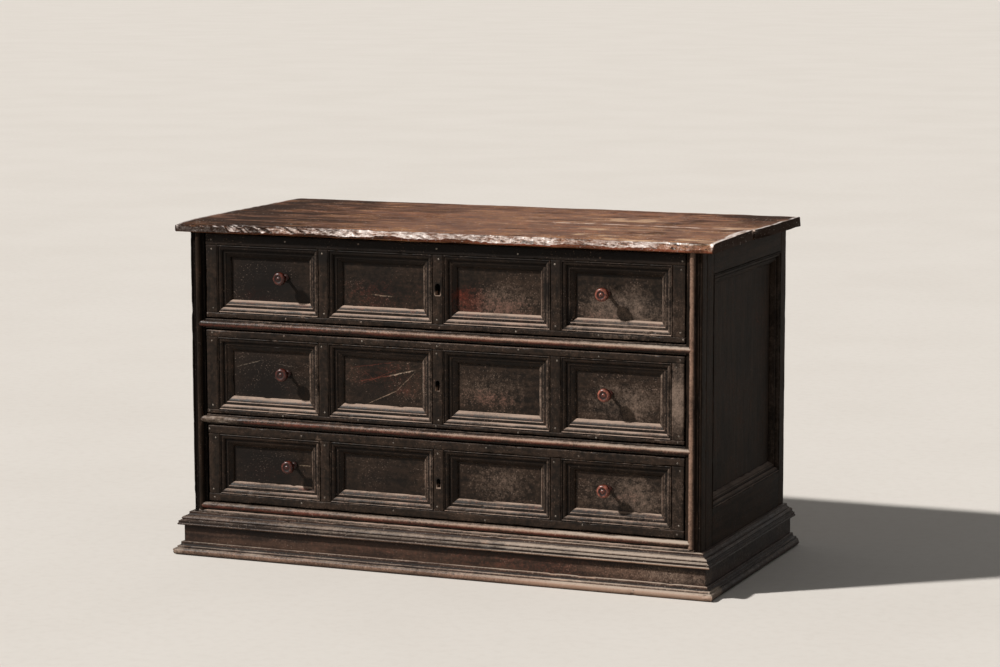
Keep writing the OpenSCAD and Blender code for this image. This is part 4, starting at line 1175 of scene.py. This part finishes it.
def base():
    right, _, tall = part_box("base_boards")[1]
    thick = right - caseHalf
    flat = boardOutline(thick, tall, 1 * mm, 12 * mm)
    timber = Timber(80)
    roundThreeSides(timber, flat, 0, dict(frontAge, dent=0.7 * mm), underNose)
    finishPiece(timber, rubbedWood, "base_boards", stain=markedBy(baseMarks, baseHurts))
    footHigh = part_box("base_foot_moulding")[1][2]
    timber = Timber(84)
    age = dict(mouldAge, pitch=6 * mm, dent=0.35 * mm, soft=0.5 * mm, chip=1.6 * mm, chipFrom=0.74, dust=0.7)
    roundThreeSides(timber, footOutline(footLook, thick, footHigh), 0, age, footWearAndShade)
    finishPiece(timber, rubbedWood, "base_foot_moulding", stain=markedBy(footMarks, footHurts))
    capLow, capHigh = corners("base_cap_moulding")
    timber = Timber(88)
    age = dict(mouldAge, pitch=6 * mm, dent=0.4 * mm, soft=0.4 * mm, chipFrom=0.68, rubbed=0.8, dust=0.75)
    section = capOutline(capLook, capHigh[0] - caseHalf, thick, capHigh[2] - capLow[2])
    roundThreeSides(timber, section, capLow[2], age, capWearAndShade)
    finishPiece(timber, rubbedWood, "base_cap_moulding", stain=markedBy(capMarks, baseHurts))


# The foot is rubbed along its roundest line and dusty on its upper side. The lines between its fillets are
# darkened: painted shade
def footWearAndShade(local, life):
    out, up = local[..., 1], local[..., 2]
    roundest = passed(out, footLook["out"] - 5 * mm, footLook["out"] - 0.5 * mm)
    atLeast(life, bareAndLitAt, roundest * (0.4 + 0.45 * cloud(local / 0.09, 91)))
    atLeast(life, paleAndLightAt, passed(up, 12 * mm, 16 * mm) * roundest * 0.4)
    lighterRight(local, life)
    lines = np.maximum(passed(np.abs(up - 17 * mm), 1.8 * mm, 0.8 * mm),
                       passed(np.abs(up - 21.6 * mm), 2 * mm, 1 * mm))
    atLeast(life, grimeAndShadeAt, 0.8 * lines)
    fade(life, 1 - 0.7 * lines)


base()
print("base made")


# Keyholes, marks and scratches of the drawers, and where their mouldings are chipped. The dark under the top
# and over the left panels is painted shade, and the pale marks on the right panels are dust and a painted
# pool of light
drawerLook = {
    "top": {
        "keyWide": 12 * mm, "keyTall": 26 * mm, "keyUp": 87 * mm, "nails": 7, "slope": 9 * mm, "dust": 1.0,
        "marks": [
            ("red", -0.452, 0.590, 0.035, 0.018, 0.55), ("red", -0.415, 0.580, 0.03, 0.010, 0.55),
            ("red", 0.070, 0.600, 0.05, 0.04, 0.7), ("red", 0.05, 0.612, 0.03, 0.018, 0.95),
            ("red", 0.13, 0.590, 0.09, 0.03, 0.45), ("red", -0.14, 0.607, 0.09, 0.04, 0.4),
            ("red", 0.37, 0.585, 0.06, 0.02, 0.35), ("red", 0.16, 0.560, 0.09, 0.006, 0.7),
            ("grime", 0.15, 0.5625, 0.06, 0.003, 1.0), ("bare", 0.0, 0.645, 0.008, 0.02, 0.5),
            ("pale", 0.42, 0.595, 0.13, 0.07, 0.45), ("pale", 0.14, 0.60, 0.10, 0.05, 0.34),
            # Painted shadow of the top across the top drawer
            ("grime", 0.0, 0.735, 0.9, 0.042, 1.15), ("grime", -0.35, 0.685, 0.35, 0.025, 0.7),
            ("grime", 0.3, 0.685, 0.3, 0.025, 0.55)],
        "panelMarks": [
            ("grime", 0.0, 0.70, 0.9, 0.028, 1.0), ("grime", -0.43, 0.62, 0.12, 0.1, 0.78),
            ("grime", -0.14, 0.62, 0.1, 0.08, 0.48)],
        "hurts": [(0.305, 0.568, 0.022, 3 * mm), (0.49, 0.556, 0.008, 3 * mm), (-0.30, 0.556, 0.006, 3 * mm)],
        "scratches": [(-0.166, 0.604, -0.112, 0.601, 1.6, 6, "9c8672", 0.7),
                      (0.445, 0.575, 0.49, 0.585, 1.2, 5, "8b7765", 0.4)]},
    "middle": {
        "keyWide": 10 * mm, "keyTall": 23 * mm, "keyUp": 93 * mm, "nails": 7, "slope": 11.5 * mm,
        "dust": 0.95,
        "marks": [
            ("red", -0.14, 0.43, 0.08, 0.035, 0.4), ("red", -0.10, 0.40, 0.05, 0.02, 0.3),
            ("red", -0.41, 0.385, 0.07, 0.02, 0.2), ("red", 0.13, 0.39, 0.07, 0.025, 0.4),
            ("pale", 0.548, 0.42, 0.02, 0.09, 0.6), ("pale", 0.42, 0.40, 0.12, 0.06, 0.36),
            ("pale", 0.14, 0.40, 0.11, 0.06, 0.3)],
        "panelMarks": [("grime", -0.43, 0.40, 0.11, 0.09, 0.78), ("grime", -0.14, 0.40, 0.1, 0.09, 0.5)],
        "hurts": [(0.26, 0.345, 0.006, 3 * mm), (-0.52, 0.48, 0.006, 2 * mm)],
        "scratches": [
            (-0.175, 0.363, -0.106, 0.395, 1.2, 3, "a38b77", 0.65),
            (-0.107, 0.394, -0.058, 0.441, 1.2, 4, "8f7a68", 0.55),
            (-0.125, 0.427, -0.060, 0.443, 1.7, 5, "b8a28e", 0.75),
            (-0.200, 0.411, -0.113, 0.430, 1.6, 6, "663528", 0.6),
            (-0.194, 0.404, -0.098, 0.446, 1.3, 7, "5f3025", 0.5),
            (-0.211, 0.442, -0.105, 0.459, 1.4, 7, "5c2f25", 0.5),
            (-0.187, 0.438, -0.150, 0.410, 1.3, 6, "653a2d", 0.5),
            (-0.497, 0.427, -0.430, 0.446, 1.3, 7, "85786a", 0.5),
            (-0.40, 0.44, -0.345, 0.432, 1.2, 7, "7c6f62", 0.4)]},
    "bottom": {
        "keyWide": 9 * mm, "keyTall": 20 * mm, "keyUp": 79 * mm, "nails": 6, "slope": 8.5 * mm, "dust": 0.65,
        "marks": [
            ("red", -0.41, 0.19, 0.07, 0.02, 0.4), ("red", 0.42, 0.2, 0.05, 0.02, 0.4),
            ("bare", -0.29, 0.275, 0.012, 0.012, 0.6), ("pale", 0.43, 0.20, 0.12, 0.06, 0.4),
            ("pale", 0.14, 0.20, 0.11, 0.06, 0.3), ("pale", 0.548, 0.21, 0.02, 0.09, 0.3)],
        "panelMarks": [("grime", -0.43, 0.21, 0.11, 0.08, 0.78), ("grime", -0.14, 0.21, 0.1, 0.08, 0.46)],
        "hurts": [(-0.42, 0.152, 0.005, 2.5 * mm), (0.10, 0.157, 0.006, 2.5 * mm)],
        "scratches": [(-0.345, 0.214, -0.315, 0.214, 1.5, 3, "8a7763", 0.7)]},
}
drawerAge = dict(frontAge, pitch=7 * mm, cell=9 * mm, dent=0.8 * mm)
keyCut = {"before": 20 * mm, "long": 60 * mm}


def keyOutline(look):
    wide, tall = look["keyWide"], look["keyTall"]
    top = arc((0, tall / 2 - wide / 2), wide / 2, 0, 180, 12)
    return np.array([(wide / 2, -tall / 2)] + top + [(-wide / 2, -tall / 2)])


# Streaks of an older red show through on the mouldings, and their dust is uneven. The flat band and the foot
# of the slope are darkened with painted shade, and the inner part of the slope is paler: dust and painted
# light
def mouldingWearAndShade(local, life):
    spot = local / (0.035, 0.004, 0.004)
    life[..., redAt] = np.clip(cloud(spot, 94) * 2.2 - 1.1, 0, 0.6) * np.clip(life[..., paleAndLightAt] * 2, 0, 1)
    inset = local[..., 2]
    band = between(inset, *panelMoulding["dirtyBand"])
    low = between(inset, *panelMoulding["dirtySlope"])
    life[..., paleAndLightAt] *= (0.75 + 0.7 * cloud(spot, 95)) * (1 - 0.75 * band) * (1 - 0.65 * low)
    life[..., paleAndLightAt] *= 1 + 0.35 * passed(inset, *panelMoulding["dustySlope"])
    atLeast(life, grimeAndShadeAt, 0.45 * low)
    atLeast(life, grimeAndShadeAt, band * (0.25 + 0.5 * cloud(spot / (3, 1, 1), 96)))
    atLeast(life, redAt, 0.5 * band * cloud(spot / 2, 97) * np.clip(life[..., paleAndLightAt] * 3, 0, 1))


def drawerFront(drawer, look, seed):
    prefix = drawer + "_drawer_"
    boxes = solidBoxes(prefix + "strips")
    low = np.min([b[0] for b in boxes], 0)
    keyMiddle = low[2] + look["keyUp"]
    key = keyOutline(look)
    keyPlace = ((0, low[1] - keyCut["before"], keyMiddle), yAxis, xAxis, zAxis)
    timber = Timber(seed)
    for a, b in boxes:
        upright = b[2] - a[2] > b[0] - a[0]
        timber.board(a, b, 2 if upright else 0, frontAge)
        if a[0] < 0 < b[0] and upright:
            timber.cut(key, keyPlace, keyCut["long"], worn=1)
    finishPiece(timber, walnut, prefix + "strips", stain=markedBy(look["marks"]))

    boardLow, boardHigh = corners(prefix + "board")
    timber = Timber(seed + 11)
    timber.board(boardLow, boardHigh, 0, drawerAge)
    timber.cut(key, keyPlace, keyCut["long"])
    panelWood = agedWood(drawer + "_panel_walnut", walnutLook, look["scratches"])
    finishPiece(timber, panelWood, prefix + "board", stain=markedBy(look["marks"] + look["panelMarks"]))

    mouldings = solidBoxes(prefix + "mouldings")
    lower = sorted((b for b in mouldings if b[1][0] - b[0][0] > 0.1 and b[1][2] < mouldings[-1][0][2]),
                   key=lambda b: b[0][0])
    highest = mouldings[-1][1][2]
    timber = Timber(seed + 20)
    outline = mouldingOutline(panelMoulding, boardLow[1] - low[1], look["slope"])
    for a, b in lower:
        timber.mouldingFrame(outline, (a[0], low[1], a[2]), b[0] - a[0], highest - a[2],
                             xAxis, zAxis, yAxis, dict(mouldAge, dust=look["dust"]), mouldingWearAndShade)
    finishPiece(timber, walnut, prefix + "mouldings", stain=markedBy(look["marks"], look["hurts"]))
    nails(drawer, boxes, low[1], look["nails"], seed + 50)


# Small nail heads, sunk a little into the strips
nailLook = {"radius": 2.2 * mm, "dome": 0.7 * mm, "shank": 2.5 * mm, "proud": 0.25 * mm, "inset": 9 * mm,
            "strayLong": 6, "strayAcross": 0.2}


def nails(drawer, boxes, face, count, seed):
    spread = np.random.default_rng(seed)
    timber = Timber(seed)
    radius, dome = nailLook["radius"], nailLook["dome"]
    profile = [(radius * math.cos(t), dome * math.sin(t)) for t in np.linspace(0, 1.45, 5)]
    profile = [(radius * 0.95, -nailLook["shank"])] + profile
    strayLong, strayAcross = nailLook["strayLong"], nailLook["strayAcross"]
    for low, high in boxes:
        middle, size = (low + high) / 2, high - low
        long = 2 if size[2] > size[0] else 0
        number = count if long == 0 else 2
        for t in np.linspace(0, 1, number):
            spot = middle.copy()
            reach = size[long] / 2 - nailLook["inset"]
            spot[long] += (2 * t - 1) * reach + spread.uniform(-strayLong, strayLong) * mm * (long == 0)
            spot[2 - long] += spread.uniform(-strayAcross, strayAcross) * size[2 - long]
            spot[1] = face + nailLook["proud"]
            timber.turn(profile, (spot, -yAxis, xAxis, zAxis), 10, 0.3)
    finishPiece(timber, nailIron, name=drawer + "DrawerNails", body=drawer + "_drawer")


knobForm = {"radius": 14.5 * mm, "out": 38 * mm, "stem": 4.5 * mm, "stemIn": 22 * mm, "ring": 8 * mm,
            "ringTall": 5 * mm, "neck": 3.5 * mm, "neckLong": 17 * mm, "dish": 1.5 * mm, "button": 5 * mm,
            "leftRubbed": 0.62, "leftDirtier": 0.1}


# Radii and heights of a knob, with the marks of its age: rubbed on the rim, whose lightness also paints a
# highlight, and dirty in the dish
def knobProfile(look):
    r, out, neck = look["radius"], look["out"], look["neck"]
    rim = r * 0.35
    flare = out - look["neckLong"] - 2 * rim
    turns = quarter(9)
    stem = [(look["stem"], -look["stemIn"]), (look["stem"], -look["stemIn"] * 0.5), (look["stem"], 0),
            (look["ring"] - 0.4 * mm, 0.1 * mm)]
    ring = [(neck + (look["ring"] - neck) * (1 - math.sin(t)),
             look["ringTall"] * (0.5 + 0.5 * (1 - math.cos(t)))) for t in turns]
    cup = [(neck + (r - neck) * (1 - math.cos(t)), look["neckLong"] + flare * math.sin(t)) for t in turns]
    edge = arc((r - rim, out - rim), rim, 0, 90, 8)[1:]
    low = out - look["dish"]
    wide = look["button"]
    dish = [(r - rim - look["dish"], low + 0.3 * mm), (wide + 0.5 * mm, low), (wide, low + 0.1 * mm)]
    button = [(wide * math.cos(t), low + wide * (math.sin(t) - 0.5) * 0.8)
              for t in np.radians([34, 45, 58, 72])]
    dot = [(1.1 * mm, low + wide * 0.36), (0.9 * mm, low + wide * 0.25), (0.3 * mm, low + wide * 0.2)]
    groups = [(stem, 0.1, 0.4), (ring, 0.2, 0.4), (cup, 0.25, 0.25), (edge, 0.7, 0.0),
              (dish, 0.2, 0.5), (button, 0.65, 0.05), (dot, 0.0, 1.0)]
    points = [p for group, *_ in groups for p in group]
    return points, [(bare, grime) for group, bare, grime in groups for _ in group]


def knobs(drawer, seed):
    node = drawer + "_drawer_knobs"
    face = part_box(drawer + "_drawer_board")[0][1]
    points, life = knobProfile(knobForm)
    timber = Timber(seed)
    for low, high in solidBoxes(node):
        middle = (low + high) / 2
        place = ((middle[0], face, middle[2]), -yAxis, xAxis, zAxis)
        # The left knobs are dirtier and less rubbed
        kept, madeDarker = (knobForm["leftRubbed"], knobForm["leftDirtier"]) if middle[0] < 0 else (1, 0)
        own = [(bare * kept, grime + madeDarker, 0, 0) for bare, grime in life]
        timber.turn(points, place, 40, 0.04, own)
    finishPiece(timber, redWood, node, crease=50)


for k, drawer in enumerate(drawers):
    drawerFront(drawer, drawerLook[drawer], 100 + 100 * k)
    knobs(drawer, 190 + 100 * k)
    for part, axis in (("sides", 1), ("back", 0), ("bottom", 0)):
        caseBoard(f"{drawer}_drawer_{part}", axis, insideAge, insideWood, 170 + 100 * k)
    for part in ("lock", "bolt"):
        cad = frame["nodes"][f"{drawer}_drawer_{part}"]
        cad.data.materials.clear()
        cad.data.materials.append(iron)
    print(drawer, "drawer made")


# What is hidden behind and below: back boards, floor boards, runners with their lips and blocks
runnerLook = {"lip": 8 * mm, "lipTall": 10 * mm, "lipSunk": 2 * mm}


def runners(drawer, look, seed):
    node = drawer + "_drawer_runners"
    timber = Timber(seed)
    for low, high in solidBoxes(node):
        side = math.copysign(1, low[0])
        flatHigh = high - [0, 0, look["lipTall"]]
        timber.board(low, flatHigh, 1, insideAge)
        lipLow, lipHigh = low.copy(), high.copy()
        lipLow[2] = flatHigh[2] - look["lipSunk"]
        if side > 0:
            lipLow[0] = high[0] - look["lip"]
        else:
            lipHigh[0] = low[0] + look["lip"]
        timber.board(lipLow, lipHigh, 1, insideAge)
    finishPiece(timber, insideWood, node)


for k, drawer in enumerate(drawers):
    runners(drawer, runnerLook, 400 + 10 * k)
backAge = dict(sideAge, pitch=12 * mm, cell=16 * mm, edge=1.6 * mm, dent=1.2 * mm, chip=3 * mm, rubbed=0.5)
for k, (node, axis, age) in enumerate((("back_boards", 0, backAge), ("floor_boards", 0, insideAge),
                                       ("base_back_rail", 0, backAge), ("corner_blocks", 2, insideAge))):
    caseBoard(node, axis, age, insideWood, 440 + 10 * k)
print("inside and back made")


# A plain pale floor, a soft key light from the upper left and an even sky
studio = {"floor": "989289", "shownFloor": "d3cec8", "shade": "c6c0b9", "sky": 0.18, "backdrop": 0.66,
          "half": 60, "key": 4.8, "keySpread": 3, "keyFrom": (-50, -39, 56)}


def setStudio(look):
    r = Recipe(bpy.data.materials.new("floor"))
    place = r.place()
    cloudy = r.noise(place, 1.3, 5, 0.6)
    fine = r.noise(place, 40, 4, 0.6)
    uneven = cloudy.rise(0.3, 0.75) * 0.3 + fine.rise(0.4, 0.8) * 0.3
    shown = r.mix(tint(look["shownFloor"]), tint(look["shade"]), uneven)
    colour = r.mix(tint(look["floor"]), shown, seenDirectly(r))
    floorMaterial = r.surface({"Base Color": colour, "Roughness": 0.8 + (fine - 0.5) * 0.2,
                               "Specular IOR Level": 0.2})
    h = look["half"]
    floor = plainObject("floor", [(-h, -h, 0), (h, -h, 0), (h, h, 0), (-h, h, 0)], [[0, 1, 2, 3]])
    floor.data.materials.append(floorMaterial)
    world = bpy.data.worlds.new("studio")
    bpy.context.scene.world = world
    r = Recipe(world)
    strength = look["sky"] + seenDirectly(r) * (look["backdrop"] - look["sky"])
    shade = r.node("ShaderNodeBackground", None, {"Color": (1, 0.985, 0.96, 1), "Strength": strength})
    r.node("ShaderNodeOutputWorld", None, {"Surface": shade})
    lamp = bpy.data.lights.new("key", "SUN")
    lamp.energy, lamp.angle, lamp.color = look["key"], math.radians(look["keySpread"]), (1, 0.975, 0.94)
    key = bpy.data.objects.new("key", lamp)
    bpy.context.scene.collection.objects.link(key)
    key.rotation_euler = Vector(look["keyFrom"]).to_track_quat("Z", "Y").to_euler()


# 1 for what the camera, a mirror or a glass shows, and 0 for the light that a surface scatters
def seenDirectly(r):
    rays = [r.node("ShaderNodeLightPath", output=kind)
            for kind in ("Is Camera Ray", "Is Glossy Ray", "Is Transmission Ray")]
    return rays[0].most(rays[1]).most(rays[2])


setStudio(studio)
placeCamera(lookFrom)
bpy.context.scene.view_settings.view_transform = "Standard"

print("done")
